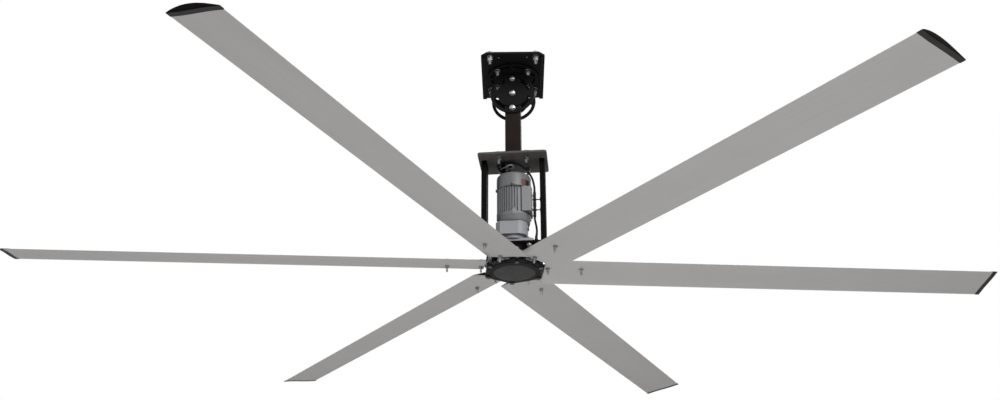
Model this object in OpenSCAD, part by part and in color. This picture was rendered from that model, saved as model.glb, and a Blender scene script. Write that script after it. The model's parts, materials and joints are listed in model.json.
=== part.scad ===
// Industrial ceiling fan with six blades, hung on a down tube from a swivel and tilt mount.
// The origin is the centre of the ceiling plate's top face. +Z is up, lengths are millimetres.

/* [Rotor] */
// Radius from the fan's axis to the outer end of a blade cap
rotor_r = 1829; // [900:1:2400]
// Radius at which each blade begins
root_r = 112; // [110:1:130]
// Direction of the first blade at rest, degrees from +X
rotor_rest = 4.8; // [-30:0.1:30]
// Height from the underside of the motor frame down to the blades' plane
hub_drop = 88; // [80:1:140]

/* [Blade] */
// Chord of the blade's airfoil
chord = 166; // [140:1:180]
// Greatest thickness of the airfoil
blade_thick = 17.5; // [16:0.5:26]
// Wall of the hollow blade
blade_wall = 1.8; // [1.2:0.1:2.2]
// Thickness of the trailing edge
edge_t = 1.2; // [0.8:0.1:2]
// Depth of the wave in the blade's underside
blade_wave = 1; // [0:0.1:1.4]
// Pitch of the blade, with the leading edge up, degrees
pitch = 10.3; // [4:0.1:12]
// Droop of the blade towards its tip, degrees
droop = 0.1; // [0:0.05:0.3]
// Sideways place of the middle of the chord, behind the blade's radial line
chord_mid = 28.9; // [20:0.1:34]
// Length of the cap on the blade's tip
cap_len = 18; // [8:1:40]
// How far the cap stands proud of the blade's skin
cap_proud = 0.8; // [0.4:0.1:2]
// Length of the plug that the cap pushes into the blade
plug_len = 25; // [10:1:60]

/* [Spar] */
// Width of the flat bar inside the blade root
spar_w = 40; // [30:1:42]
// Thickness of that bar
spar_t = 11; // [8:0.5:11.5]
// Radius at which the bar ends inside the blade
spar_end = 280; // [270:1:600]
// Sideways place of the bar's middle, behind the blade's radial line
spar_mid = 4; // [2:0.5:5]
// Radius of the inner blade bolt
bolt_r_in = 125; // [124:1:132]
// Radius of the outer blade bolt
bolt_r_out = 250; // [180:1:255]
// Length of bolt that hangs below the blade
bolt_hang = 24; // [18:1:32]

/* [Hub] */
// Width of the six-sided hub across its flats
hub_af = 212; // [206:1:214]
// Thickness of the lower hub plate
hub_plate_t = 9; // [6:0.5:14]
// Depth of the lower hub plate's underside below the blades' plane
hub_low = 15; // [15:0.5:24]
// Height of the spar blocks between the two hub plates
block_h = 30; // [30:0.5:34]
// Width of a spar block
block_w = 48; // [44:1:52]
// Radius at which the spar blocks begin
block_r = 60; // [52:1:64]
// Thickness of the upper hub plate
hub_top_t = 8; // [5:0.5:12]
// Outer radius of the boss that grips the shaft
boss_r = 34; // [30:1:40]
// Radius of the bolts in the hub's six corners
corner_bolt_r = 108; // [104:1:110]
// Outer radius of the round hub cover
cover_r = 98; // [92:0.5:98]
// Radius of the raised face of the cover
cover_face_r = 76; // [60:1:86]
// Depth of the cover's rim
cover_rim_h = 2.5; // [1.5:0.1:4]
// Depth of the cover's raised face below its rim
cover_face_h = 3; // [1:0.1:8]
// Wall of the cover
cover_wall = 1.5; // [1:0.1:2.4]

/* [Ceiling mount] */
// Width of the ceiling plate, across the picture
plate_w = 250; // [240:1:300]
// Length of the ceiling plate, away from the picture
plate_d = 340; // [320:1:380]
// Thickness of the ceiling plate
plate_t = 8; // [6:0.5:11]
// Cut at the two front corners of the ceiling plate
plate_cut = 22; // [10:1:24]
// Width of the stiffening strip under each side
strip_w = 16; // [10:1:20]
// Depth of that strip
strip_h = 5; // [2:0.5:8]
// Spacing across of the four anchor bolts
anchor_dx = 178; // [172:1:184]
// Distance of the front anchor bolts from the middle
anchor_front = 150; // [142:1:152]
// Distance of the rear anchor bolts from the middle
anchor_rear = 95; // [90:1:130]
// Length of an anchor bolt below the ceiling plate
anchor_hang = 35; // [32:1:60]
// Spacing across of the four free ceiling holes
fix_dx = 110; // [90:1:120]
// Spacing along the plate of the four free ceiling holes
fix_dy = 270; // [264:1:300]
// Diameter of a free ceiling hole
fix_d = 13; // [9:0.5:15]

/* [Swivel] */
// Outer radius of the swivel disc
disc_r = 103; // [102:0.5:108]
// Thickness of the swivel disc
disc_t = 8; // [6:0.5:11]
// Radius of the arc slots in the swivel disc
swivel_r = 84; // [82:0.5:86]
// Travel of the swivel each way from the middle of its slots, degrees
swivel_travel = 35; // [20:1:36]
// Where the swivel is set at rest, degrees about +Z
swivel_set = -4.5; // [-30:0.5:30]
// Length of a swivel bolt below the swivel disc
swivel_hang = 23.7; // [20:0.1:26]
// Distance of the tilt pivot below the top of the ceiling plate
pivot_drop = 107.5; // [106:0.5:140]
// Outer radius of the tilt ears
ear_r = 88; // [84:1:90]
// Thickness of a tilt ear
ear_t = 6; // [5:0.5:10]
// Width of the neck that joins an ear to the swivel disc
neck_w = 90; // [80:1:94]
// Radius of the arc slots in the ears
tilt_r = 67; // [66:0.5:69]
// Width of the arc slots in the ears
slot_w = 17; // [14:0.5:18]
// Travel of the tilt each way, degrees
tilt_travel = 45; // [20:1:50]
// Angle from an ear slot's middle to the middle of its round end, degrees
ear_slot_half = 71; // [65:1:71]

/* [Down tube] */
// Outer width of the square down tube
tube_w = 60; // [50:1:64]
// Wall of the down tube
tube_wall = 4; // [3:0.5:6]
// Height of the down tube above the tilt pivot
tube_over = 80; // [78:1:84]
// Length of the down tube
tube_len = 358.5; // [320:0.5:1500]
// Width of the square flange at the foot of the down tube
flange_w = 150; // [140:1:160]
// Thickness of that flange
flange_t = 8; // [6:0.5:12]
// Spacing of the four bolts in that flange
flange_pitch = 105; // [100:1:118]

/* [Motor frame] */
// Width of the frame's top plate
frame_w = 265; // [262:1:300]
// Depth of the frame's top plate
frame_d = 178; // [170:1:200]
// Thickness of the frame's top plate and of its foot
frame_t = 8; // [6:0.5:12]
// Corner radius of the frame's top plate
frame_corner = 12; // [4:1:18]
// Width of the frame's foot, the bar that joins the two legs below
foot_w = 244; // [242:1:260]
// Depth of the frame's foot
foot_d = 74; // [72:1:90]
// Height of the frame's two legs
leg_h = 342; // [330:1:420]
// Thickness of a leg
leg_t = 20; // [16:1:22]
// Depth of a leg
leg_d = 70; // [60:1:90]
// Distance of a leg's outer face from the frame's middle
leg_out = 122; // [120:1:126]

/* [Gearmotor] */
// Radius of the fan cowl and of the motor's end rim
motor_r = 66; // [65:0.5:68]
// Radius of the motor body under its fins
body_r = 56; // [55:0.5:57]
// Height of the finned motor body
body_h = 108; // [100:1:125]
// Number of places for cooling fins round the body
fin_count = 40; // [18:1:42]
// Thickness of a cooling fin
fin_t = 2; // [1.6:0.1:4]
// Height of the fan cowl
cowl_h = 58; // [56:1:80]
// Wall of the fan cowl
cowl_wall = 2; // [1.5:0.1:2.2]
// Height of the lower motor end shield
shield_h = 36; // [34:1:50]
// Thickness of the steel flange under the gearbox
mount_t = 10; // [10:0.5:14]
// Width of that flange
mount_w = 150; // [140:1:152]
// Depth of that flange
mount_d = 74; // [72:1:80]
// Spacing across of the four bolts in that flange
mount_pitch = 116; // [110:1:120]
// Spacing of those bolts from front to back
mount_pitch_d = 50; // [44:1:52]
// Radius of the round neck under the gear case
gear_neck_r = 46; // [46:1:52]
// Height of that neck
gear_neck_h = 13; // [12:1:40]
// Height of the gear case
case_h = 44; // [44:1:60]
// Thickness of the gear case's cover
case_cover_t = 8; // [8:0.5:12]
// Wall of the gear case
case_wall = 6; // [4:0.5:7]
// Radius of the output shaft
out_r = 15; // [12:0.5:15.5]
// Radius of the motor shaft
motor_shaft_r = 8.5; // [7:0.5:9]

/* [Gears] */
// Size of the gear teeth, as pitch diameter for each tooth
gear_module = 1; // [0.95:0.01:1.02]
// Width of a gear's teeth
gear_face = 12; // [8:0.5:12]

/* [Cable] */
// Diameter of the motor cable
cable_d = 8; // [6:0.5:9]
// Diameter of the in-line connector
connector_d = 13; // [12:0.5:14]
// Length of the in-line connector
connector_len = 108; // [80:1:108]

/* [Hidden] */
$fn = 48;
blade_count = 6;
blade_step = 360 / blade_count;
// Clearances: between pieces that move, round a shaft in its bearing and round a bolt in its hole
run_gap = 0.3;
shaft_gap = 0.05;
hole_gap = 0.25;
thread_gap = 0.1;

// Fasteners: shank diameter, width across flats and head height of each size
m12 = [12, 18, 7.5];
m10 = [10, 16, 6.4];
m8 = [8, 13, 5.3];
m6 = [6, 10, 4];
washer_t = 2.5;
anchor_washer_t = 5;

// Heights of the ceiling mount, from the top down
plate_low = -plate_t;
disc_top = plate_low - run_gap;
disc_low = disc_top - disc_t;
pivot_z = -pivot_drop;
ear_in = tube_w / 2 + run_gap;
ear_out = ear_in + ear_t;

// Heights of the down tube and the motor frame
tube_top = pivot_z + tube_over;
tube_low = tube_top - tube_len;
frame_top = tube_low - flange_t;
leg_top = frame_top - frame_t;
leg_low = leg_top - leg_h;
frame_low = leg_low - frame_t;

// Heights of the gearmotor, from the frame's foot up
mount_top = leg_low + mount_t;
case_low = mount_top + gear_neck_h;
case_top = case_low + case_h;
shield_low = case_top + case_cover_t;
body_low = shield_low + shield_h;
body_top = body_low + body_h;
rear_t = 12;
rear_top = body_top + rear_t;
cowl_top = body_top + cowl_h;

// Heights of the hub, with the blades' plane between them
rotor_z = frame_low - hub_drop;
hub_plate_low = rotor_z - hub_low;
block_low = hub_plate_low + hub_plate_t;
block_top = block_low + block_h;
hub_top = block_top + hub_top_t;
boss_top = hub_top + 12;
shaft_low = block_low + 2;

// Gear train, with its lay shaft to the left of the axis
motor_teeth = 14;
lay_gear_teeth = 42;
lay_pinion_teeth = 13;
out_teeth = 43;
lay_x = -gear_module * (out_teeth + lay_pinion_teeth) / 2;
case_floor = case_low + 8;
out_gear_z = case_floor + 1.5;
lay_gear_z = out_gear_z + gear_face + 4;
lay_shaft_r = 4.5;

// Outline of the gear case: left and right faces, half depth, left cut and right corner radius
case_left = -66;
case_right = 52;
case_half = 55;
case_cut = 17;
case_round = 37;

// Bearings: outer radius and width, and how far the output shaft's bearing stands in the case's floor
out_bearing = [27.5, 12];
out_lip = 1.5;
out_bearing_low = [27.5, mount_t - 2];
lay_bearing = [9.5, 6];
motor_bearing = [20, 12];
rear_bearing = [20, 9];

// Terminal box on the motor's right, as seen from the front
box_x = [34, 66];
box_y = [-55, 25];
box_margin = 3;
box_wall = 3;
lid_t = 4;

// Finned body: bore, and the arc of azimuths that the terminal box takes
stator_r = 50;
rotor_core_r = 30;
air_gap = 0.6;
core_low = body_low + 13;
core_h = body_h - 33;
box_arc = [-64, 34];

// Cooling fan
vane_count = 7;
vane_r = 56;
vane_h = 18;
vane_z = rear_top + 8;

// Cable glands: the upper one is under the tube's open foot, the lower one beside the gearbox flange
gland_r = 8;
gland_h = 8;
gland_up = [-tube_w / 2 + tube_wall + 12, tube_w / 2 - tube_wall - 10];
gland_low = [mount_w / 2 + 9, -14];
gland_low_h = 12;
gland_nut = [15, 4];
gland_bore = cable_d / 2 + thread_gap;
gland_stud_r = cable_d / 2 + 1.75;

// Connector on the cable, in the motor frame's heading
connector_at = [80, -14];
connector_drop = 132;
connector_top = leg_top - connector_drop;
connector_low = connector_top - connector_len;

// Route of the cable above the connector, as heights below the top plate
upper_route = [
  [gland_up[0], gland_up[1], frame_t + gland_nut[1]], [gland_up[0], gland_up[1], 0],
  [gland_up[0], gland_up[1], -gland_h], [gland_up[0], gland_up[1], -gland_h - 5],
  [gland_up[0] - 4, gland_up[1] + 4, -20], [-28, 28, -24], [-41, 32, -22], [-53, 28, -17],
  [-60, 17, -12.5], [-62, 4, -10.5], [-59, -9, -10], [-48, -21, -10], [-31, -26, -10],
  [-14, -29, -11], [2, -31, -13], [18, -31, -19], [31, -30, -27], [43, -28, -37], [54, -25, -48],
  [64, -22, -62], [72, -19, -78], [77, -16, -96], [connector_at[0], connector_at[1], -116],
  [connector_at[0], connector_at[1], -connector_drop]];
// Route of the cable below the connector, as heights above the bottom plate
lower_run = connector_low - leg_low - gland_low_h;
lower_bow = 3.5;
lower_route = concat([for (p = [[0, 0, 1], [0, 0, 0.9], [0.2, 0.6, 0.72], [0.5, 1, 0.54], [0.8, 1, 0.36],
  [1, 0.4, 0.2], [1, 0, 0.1], [1, 0, 0]])
  [connector_at[0] + p[0] * (gland_low[0] - connector_at[0]) + p[1] * lower_bow,
    connector_at[1] + p[0] * (gland_low[1] - connector_at[1]), gland_low_h + p[2] * lower_run]],
  [[gland_low[0], gland_low[1], 0], [gland_low[0], gland_low[1], -frame_t - gland_nut[1]]]);

// Shared shapes

function corners(dx, dy) = [for (sx = [-1, 1], sy = [-1, 1]) [sx * dx / 2, sy * dy / 2]];

module at_corners(dx, dy) {
  for (c = corners(dx, dy)) translate([c[0], c[1], 0]) children();
}

// Everything below the ceiling plate is turned to the swivel's heading
module headed() {
  rotate([0, 0, swivel_set]) children();
}

// A hexagon head or nut blank standing on z = 0
module hex_blank(flats, height) {
  cylinder(r = flats / sqrt(3), h = height, $fn = 6);
}

// A bolt with its head standing on z = 0 and its shank hanging below
module hex_bolt(size, shank) {
  hex_blank(size[1], size[2]);
  translate([0, 0, -shank]) cylinder(d = size[0], h = shank + 0.01);
}

// A countersunk screw with its flat head flush at z = 0 and its shank hanging below
module flat_screw(size, shank) {
  head_h = size[0] / 2;
  translate([0, 0, -head_h]) cylinder(r1 = size[0] / 2, r2 = size[0], h = head_h);
  translate([0, 0, -shank]) cylinder(d = size[0], h = shank - head_h + 0.01);
}

// The hole for that screw, cut from a face at z = 0
module flat_hole(size, depth) {
  head_h = size[0] / 2;
  translate([0, 0, -head_h - hole_gap])
    cylinder(r1 = size[0] / 2 + hole_gap, r2 = size[0] + hole_gap, h = head_h + hole_gap + 0.001);
  translate([0, 0, -depth]) cylinder(r = size[0] / 2 + hole_gap, h = depth);
}

module nut(size, height) {
  difference() {
    hex_blank(size[1], height);
    translate([0, 0, -1]) cylinder(r = size[0] / 2 + thread_gap, h = height + 2);
  }
}

module washer(size, outer_r, height) {
  difference() {
    cylinder(r = outer_r, h = height);
    translate([0, 0, -1]) cylinder(r = size[0] / 2 + thread_gap, h = height + 2);
  }
}

module ring(outer_r, inner_r, height) {
  difference() {
    cylinder(r = outer_r, h = height);
    translate([0, 0, -1]) cylinder(r = inner_r, h = height + 2);
  }
}

module hole(r, low, high) {
  translate([0, 0, low - 1]) cylinder(r = r, h = high - low + 2);
}

// A flat plate with round corners, standing on z = 0
module round_plate(w, d, r, height) {
  translate([-w / 2 + r, -d / 2, 0]) cube([w - 2 * r, d, height]);
  translate([-w / 2, -d / 2 + r, 0]) cube([w, d - 2 * r, height]);
  at_corners(w - 2 * r, d - 2 * r) cylinder(r = r, h = height);
}

// An arc slot's outline on a circle of radius r, with round ends, centred on angle mid
module arc_slot(r, width, half, mid) {
  reach = 2 * r;
  difference() {
    circle(r = r + width / 2);
    circle(r = r - width / 2);
    polygon(concat([[0, 0]], [for (k = [0:6])
      reach * [cos(mid + half + k * (360 - 2 * half) / 6), sin(mid + half + k * (360 - 2 * half) / 6)]]));
  }
  for (s = [-1, 1]) translate(r * [cos(mid + s * half), sin(mid + s * half)]) circle(d = width);
}

// Ceiling mount

anchor_places = [for (sx = [-1, 1], y = [-anchor_front, anchor_rear]) [sx * anchor_dx / 2, y, 0]];
swivel_angles = [45, 135, 225, 315];

module ceiling_plate() color("#1b1a1a") difference() {
  translate([0, 0, -plate_t - strip_h]) linear_extrude(plate_t + strip_h) polygon([
    [-plate_w / 2, plate_d / 2], [-plate_w / 2, -plate_d / 2 + plate_cut],
    [-plate_w / 2 + plate_cut, -plate_d / 2], [plate_w / 2 - plate_cut, -plate_d / 2],
    [plate_w / 2, -plate_d / 2 + plate_cut], [plate_w / 2, plate_d / 2]]);
  translate([-plate_w / 2 + strip_w, -plate_d, -plate_t - strip_h - 1])
    cube([plate_w - 2 * strip_w, 2 * plate_d, strip_h + 1]);
  translate([-plate_w, -plate_d / 2 - 1, -plate_t - strip_h - 1])
    cube([2 * plate_w, plate_cut + 1, strip_h + 1]);
  for (p = anchor_places) translate(p) hole(m12[0] / 2 + hole_gap, -plate_t, 0);
  at_corners(fix_dx, fix_dy) hole(fix_d / 2, -plate_t, 0);
  for (a = swivel_angles) rotate([0, 0, a]) translate([swivel_r, 0, 0]) flat_hole(m12, plate_t + 1);
}

module anchor_bolts() color("#9a9c9c") for (p = anchor_places) translate(p) {
  washer(m12, m12[0] * 1.15, anchor_washer_t);
  translate([0, 0, anchor_washer_t]) hex_bolt(m12, anchor_washer_t + plate_t + anchor_hang);
  translate([0, 0, plate_low - washer_t]) washer(m12, m12[0], washer_t);
  translate([0, 0, plate_low - washer_t - 10]) nut(m12, 10);
  translate([0, 0, plate_low - washer_t - 18]) nut(m12, 7.8);
}

module swivel_bolts() color("#9a9c9c") for (a = swivel_angles)
  rotate([0, 0, a]) translate([swivel_r, 0, 0]) {
    flat_screw(m12, -disc_low + swivel_hang);
    translate([0, 0, disc_low - run_gap - washer_t]) washer(m12, m12[0], washer_t);
    translate([0, 0, disc_low - run_gap - washer_t - 10]) nut(m12, 10);
  }

module swivel_disc() color("#232222") headed() translate([0, 0, disc_low]) linear_extrude(disc_t)
  difference() {
    circle(r = disc_r);
    for (a = swivel_angles) arc_slot(swivel_r, m12[0] + 2, swivel_travel + 2, a);
  }

// One ear, as an outline standing in the plane of the tilt, with the pivot at its origin
module ear_outline() difference() {
  union() {
    circle(r = ear_r, $fn = 96);
    translate([-neck_w / 2, 0]) square([neck_w, disc_low - pivot_z]);
  }
  circle(r = m12[0] / 2 + shaft_gap);
  for (mid = [90, 270]) arc_slot(tilt_r, slot_w, ear_slot_half, mid);
}

module ear(front) headed() translate([0, front ? -ear_in : ear_out, pivot_z])
  rotate([90, 0, 0]) linear_extrude(ear_t) ear_outline();

module ear_front() color("#262524") ear(true);
module ear_rear() color("#262524") ear(false);

// Down tube and its bolts

tilt_heights = [-tilt_r, 0, tilt_r];

module down_tube() color("#2e2725") headed() difference() {
  union() {
    translate([-tube_w / 2, -tube_w / 2, tube_low]) cube([tube_w, tube_w, tube_len]);
    translate([0, 0, tube_low - flange_t]) round_plate(flange_w, flange_w, 8, flange_t);
  }
  translate([-tube_w / 2 + tube_wall, -tube_w / 2 + tube_wall, tube_low - flange_t - 1])
    cube([tube_w - 2 * tube_wall, tube_w - 2 * tube_wall, tube_len + flange_t + 2]);
  for (h = tilt_heights) translate([0, tube_w, pivot_z + h]) rotate([90, 0, 0])
    cylinder(r = m12[0] / 2 + hole_gap, h = 2 * tube_w);
  at_corners(flange_pitch, flange_pitch) hole(m12[0] / 2 + hole_gap, tube_low - flange_t, tube_low);
}

module tilt_bolts() color("#a5a7a8") headed() for (h = tilt_heights) translate([0, 0, pivot_z + h])
  rotate([90, 0, 0]) {
    translate([0, 0, ear_out + run_gap]) washer(m12, m12[0], washer_t);
    translate([0, 0, ear_out + run_gap + washer_t]) hex_bolt(m12, 2 * (ear_out + run_gap + washer_t) + 13);
    translate([0, 0, -ear_out - run_gap - washer_t]) washer(m12, m12[0], washer_t);
    translate([0, 0, -ear_out - run_gap - washer_t - 10]) nut(m12, 10);
  }

module flange_bolts() color("#a5a7a8") headed() at_corners(flange_pitch, flange_pitch) {
  translate([0, 0, tube_low]) washer(m12, m12[0], washer_t);
  translate([0, 0, tube_low + washer_t]) hex_bolt(m12, washer_t + flange_t + frame_t + 26);
  translate([0, 0, leg_top - washer_t]) washer(m12, m12[0], washer_t);
  translate([0, 0, leg_top - washer_t - 10]) nut(m12, 10);
}

// Motor frame

leg_mid = leg_out - leg_t / 2;
leg_screw_y = leg_d / 2 - 13;
eye_place = [-40, 4];

module at_leg_screws() {
  at_corners(2 * leg_mid, 2 * leg_screw_y) children();
}

module frame_top_plate() color("#2a2625") headed() difference() {
  translate([0, 0, leg_top]) round_plate(frame_w, frame_d, frame_corner, frame_t);
  at_corners(flange_pitch, flange_pitch) hole(m12[0] / 2 + hole_gap, leg_top, frame_top);
  at_leg_screws() hole(m8[0] / 2 + hole_gap, leg_top, frame_top);
  translate(gland_up) hole(gland_stud_r + thread_gap, leg_top, frame_top);
  translate(eye_place) hole(m10[0] / 2 + hole_gap, leg_top, frame_top);
}

module leg(side) headed() difference() {
  translate([side * leg_mid - leg_t / 2, -leg_d / 2, leg_low]) cube([leg_t, leg_d, leg_h]);
  for (sy = [-1, 1]) translate([side * leg_mid, sy * leg_screw_y, 0]) {
    translate([0, 0, leg_top - 22]) cylinder(r = m8[0] / 2 + thread_gap, h = 23);
    translate([0, 0, leg_low - 1]) cylinder(r = m8[0] / 2 + thread_gap, h = 23);
  }
}

module leg_left() color("#171515") leg(-1);
module leg_right() color("#171515") leg(1);

module frame_bottom_plate() color("#171616") headed() difference() {
  translate([0, 0, frame_low]) round_plate(foot_w, foot_d, 4, frame_t);
  at_leg_screws() hole(m8[0] / 2 + hole_gap, frame_low, leg_low);
  at_corners(mount_pitch, mount_pitch_d) hole(m10[0] / 2 + hole_gap, frame_low, leg_low);
  hole(out_bearing[0] + 4, frame_low, leg_low);
  translate(gland_low) hole(gland_stud_r + thread_gap, frame_low, leg_low);
}

module leg_screws() color("#8d8f8f") headed() at_leg_screws() {
  translate([0, 0, frame_top]) hex_bolt(m8, frame_t + 18);
  translate([0, 0, frame_low]) mirror([0, 0, 1]) hex_bolt(m8, frame_t + 18);
}

// Gearbox

module case_outline(inset) {
  left = case_left + inset;
  right = case_right - inset;
  half = case_half - inset;
  r = case_round - inset;
  difference() {
    union() {
      translate([left, -half]) square([right - r - left, 2 * half]);
      translate([right - r - 1, -half + r]) square([r + 1, 2 * (half - r)]);
      for (s = [-1, 1]) translate([right - r, s * (half - r)]) circle(r = r);
    }
    for (s = [-1, 1]) translate([left, s * half]) rotate([0, 0, 45])
      square(sqrt(2) * case_cut, center = true);
  }
}

neck_screw_r = gear_neck_r - 9;
neck_screw_angles = [30, 150, 210, 330];

module gearbox_flange() color("#a4a6aa") headed() difference() {
  translate([0, 0, leg_low]) round_plate(mount_w, mount_d, 10, mount_t);
  at_corners(mount_pitch, mount_pitch_d) hole(m10[0] / 2 + hole_gap, leg_low, mount_top);
  translate([0, 0, mount_top - out_bearing_low[1]])
    cylinder(r = out_bearing_low[0] + shaft_gap, h = out_bearing_low[1] + 1);
  hole(out_bearing_low[0] - 3, leg_low, mount_top);
  for (a = neck_screw_angles) rotate([0, 0, a]) translate([neck_screw_r, 0, leg_low])
    mirror([0, 0, 1]) flat_hole(m6, mount_t + 1);
}

module gearbox_bolts() color("#9fa1a2") headed() {
  at_corners(mount_pitch, mount_pitch_d) {
    translate([0, 0, mount_top]) hex_bolt(m10, mount_t + frame_t + 12);
    translate([0, 0, frame_low - 8]) nut(m10, 8);
  }
  for (a = neck_screw_angles) rotate([0, 0, a]) translate([neck_screw_r, 0, leg_low])
    mirror([0, 0, 1]) flat_screw(m6, mount_t + 10);
}

plug_place = [case_right, -10, case_top - 11];

module gear_case() color("#a9abaf") headed() difference() {
  union() {
    translate([0, 0, case_low]) linear_extrude(case_h) case_outline(0);
    translate([0, 0, mount_top]) cylinder(r = gear_neck_r, h = gear_neck_h + 0.01);
  }
  translate([0, 0, case_floor]) linear_extrude(case_h) case_outline(case_wall);
  translate([0, 0, mount_top - 1])
    cylinder(r = out_bearing[0] + shaft_gap, h = case_low + out_lip - mount_top + 1);
  hole(out_r + 2.5, mount_top, case_floor);
  translate([lay_x, 0, case_floor - lay_bearing[1]])
    cylinder(r = lay_bearing[0] + shaft_gap, h = lay_bearing[1] + 1);
  for (a = neck_screw_angles) rotate([0, 0, a]) translate([neck_screw_r, 0, mount_top - 1])
    cylinder(r = m6[0] / 2 + thread_gap, h = 13);
  translate(plug_place) rotate([0, 90, 0])
    cylinder(r = m8[0] / 2 + thread_gap, h = 4 * case_wall, center = true);
}

module gear_case_cover() color("#a4a6aa") headed() difference() {
  translate([0, 0, case_top]) linear_extrude(case_cover_t) case_outline(0);
  hole(motor_shaft_r + 4, case_top, shield_low);
  translate([lay_x, 0, case_top - 1]) cylinder(r = lay_bearing[0] + shaft_gap, h = lay_bearing[1] + 1);
}

module oil_plug() color("#8f9192") headed() translate(plug_place)
  rotate([0, 90, 0]) hex_bolt(m8, case_wall - 1);

module gearbox_bearings() color("#c8cacb") headed() {
  translate([0, 0, case_low - out_bearing[1] + out_lip])
    ring(out_bearing[0], out_r + shaft_gap, out_bearing[1]);
  translate([0, 0, mount_top - out_bearing_low[1]])
    ring(out_bearing_low[0], out_r + shaft_gap, out_bearing_low[1]);
  translate([lay_x, 0, 0]) {
    translate([0, 0, case_floor - lay_bearing[1]])
      ring(lay_bearing[0], lay_shaft_r + shaft_gap, lay_bearing[1] - 0.5);
    translate([0, 0, case_top + 0.5]) ring(lay_bearing[0], lay_shaft_r + shaft_gap, lay_bearing[1] - 0.5);
  }
}

module shaft_seal() color("#202020") headed() translate([0, 0, frame_low])
  ring(out_bearing[0] + 4 - hole_gap, out_r + shaft_gap * 2, frame_t - run_gap);

// Motor

// The end shield has a lug at each of its four screws
lug_angles = [-85.5, 4.5, 94.5, 184.5];
lug_w = 14;
lug_h = 14;

module motor_end_shield() color("#9b9da1") headed() difference() {
  union() {
    translate([0, 0, shield_low]) rotate_extrude() polygon([
      [0, 0], [motor_r - 10, 0], [motor_r - 6, 4], [motor_r - 2.5, shield_h - 12],
      [motor_r - 1, shield_h - 9], [motor_r - 1, shield_h], [0, shield_h]]);
    for (a = lug_angles) rotate([0, 0, a]) translate([motor_r - 10, -lug_w / 2, body_low - lug_h])
      cube([10, lug_w, lug_h]);
  }
  hole(motor_shaft_r + 4, shield_low, body_low);
  translate([0, 0, shield_low + 9]) cylinder(r = motor_bearing[0] + shaft_gap, h = motor_bearing[1]);
  translate([0, 0, shield_low + 9 + motor_bearing[1]]) cylinder(r = stator_r, h = shield_h);
}

function in_box_arc(a) = (a > 180 ? a - 360 : a) > box_arc[0] && (a > 180 ? a - 360 : a) < box_arc[1];

module motor_body() color("#8f9196") headed() translate([0, 0, body_low]) linear_extrude(body_h)
  difference() {
    union() {
      circle(r = body_r);
      for (k = [0:fin_count - 1]) if (!in_box_arc(k * 360 / fin_count)) rotate([0, 0, k * 360 / fin_count])
        translate([body_r - 2, -fin_t / 2]) square([motor_r - 1 - body_r + 2, fin_t]);
    }
    circle(r = stator_r + hole_gap);
  }

module stator_core() color("#5c5f63") headed() translate([0, 0, core_low])
  ring(stator_r, rotor_core_r + air_gap, core_h);

module stator_windings() color("#b4622e") headed() {
  translate([0, 0, core_low - 11]) ring(stator_r - 2, rotor_core_r + 4, 10.8);
  translate([0, 0, core_low + core_h + 0.2]) ring(stator_r - 2, rotor_core_r + 4, 10.8);
}

module motor_rear_shield() color("#8d8f93") headed() translate([0, 0, body_top]) difference() {
  cylinder(r = motor_r - cowl_wall - 1, h = rear_t);
  translate([0, 0, -1]) cylinder(r = motor_shaft_r + 2, h = rear_t + 2);
  translate([0, 0, -1]) cylinder(r = rear_bearing[0] + shaft_gap, h = rear_bearing[1] + 1);
  for (a = [0:90:270]) rotate([0, 0, a]) translate([motor_r - cowl_wall - 1, 0, rear_t / 2])
    rotate([0, 90, 0]) cylinder(r = m6[0] / 2 + thread_gap, h = 20, center = true);
}

module motor_bearings() color("#c8cacb") headed() {
  translate([0, 0, shield_low + 9]) ring(motor_bearing[0], motor_shaft_r + shaft_gap, motor_bearing[1]);
  translate([0, 0, body_top]) ring(rear_bearing[0], motor_shaft_r + shaft_gap, rear_bearing[1]);
}

cowl_round = 10;
cowl_arc = [for (k = [0:6]) let (a = k * 15) [cos(a), sin(a)]];

module fan_cowl() color("#8b8d90") headed() translate([0, 0, body_top]) difference() {
  rotate_extrude(convexity = 4) polygon(concat(
    [[motor_r - cowl_wall, 0], [motor_r, 0]],
    [for (p = cowl_arc) [motor_r - cowl_round, cowl_h - cowl_round] + cowl_round * p],
    [[0, cowl_h], [0, cowl_h - cowl_wall]],
    [for (k = [6:-1:0])
      [motor_r - cowl_round, cowl_h - cowl_round] + (cowl_round - cowl_wall) * cowl_arc[k]]));
  translate([0, 0, cowl_h - 5]) {
    for (k = [0:11]) rotate([0, 0, 30 * k]) translate([26, 0, 0]) cylinder(r = 4, h = 10);
    for (k = [0:17]) rotate([0, 0, 20 * k]) translate([42, 0, 0]) cylinder(r = 4, h = 10);
    cylinder(r = 8, h = 10);
  }
  for (a = [0:90:270]) rotate([0, 0, a]) translate([motor_r, 0, rear_t / 2]) rotate([0, 90, 0])
    cylinder(r = m6[0] / 2 + hole_gap, h = 10, center = true);
}

module cowl_screws() color("#7c7e80") headed() {
  for (a = [0:90:270]) rotate([0, 0, a]) translate([motor_r, 0, body_top + rear_t / 2])
    rotate([0, 90, 0]) hex_bolt(m6, cowl_wall + 8);
  for (y = [box_y[0] + 8, box_y[1] - 8], z = [body_low + 12, body_top - 12])
    translate([box_x[1] + lid_t, y, z]) rotate([0, 90, 0]) {
      cylinder(r = 4, h = 2);
      translate([0, 0, -lid_t - 6]) cylinder(r = 2, h = lid_t + 6.01);
    }
}

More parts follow.
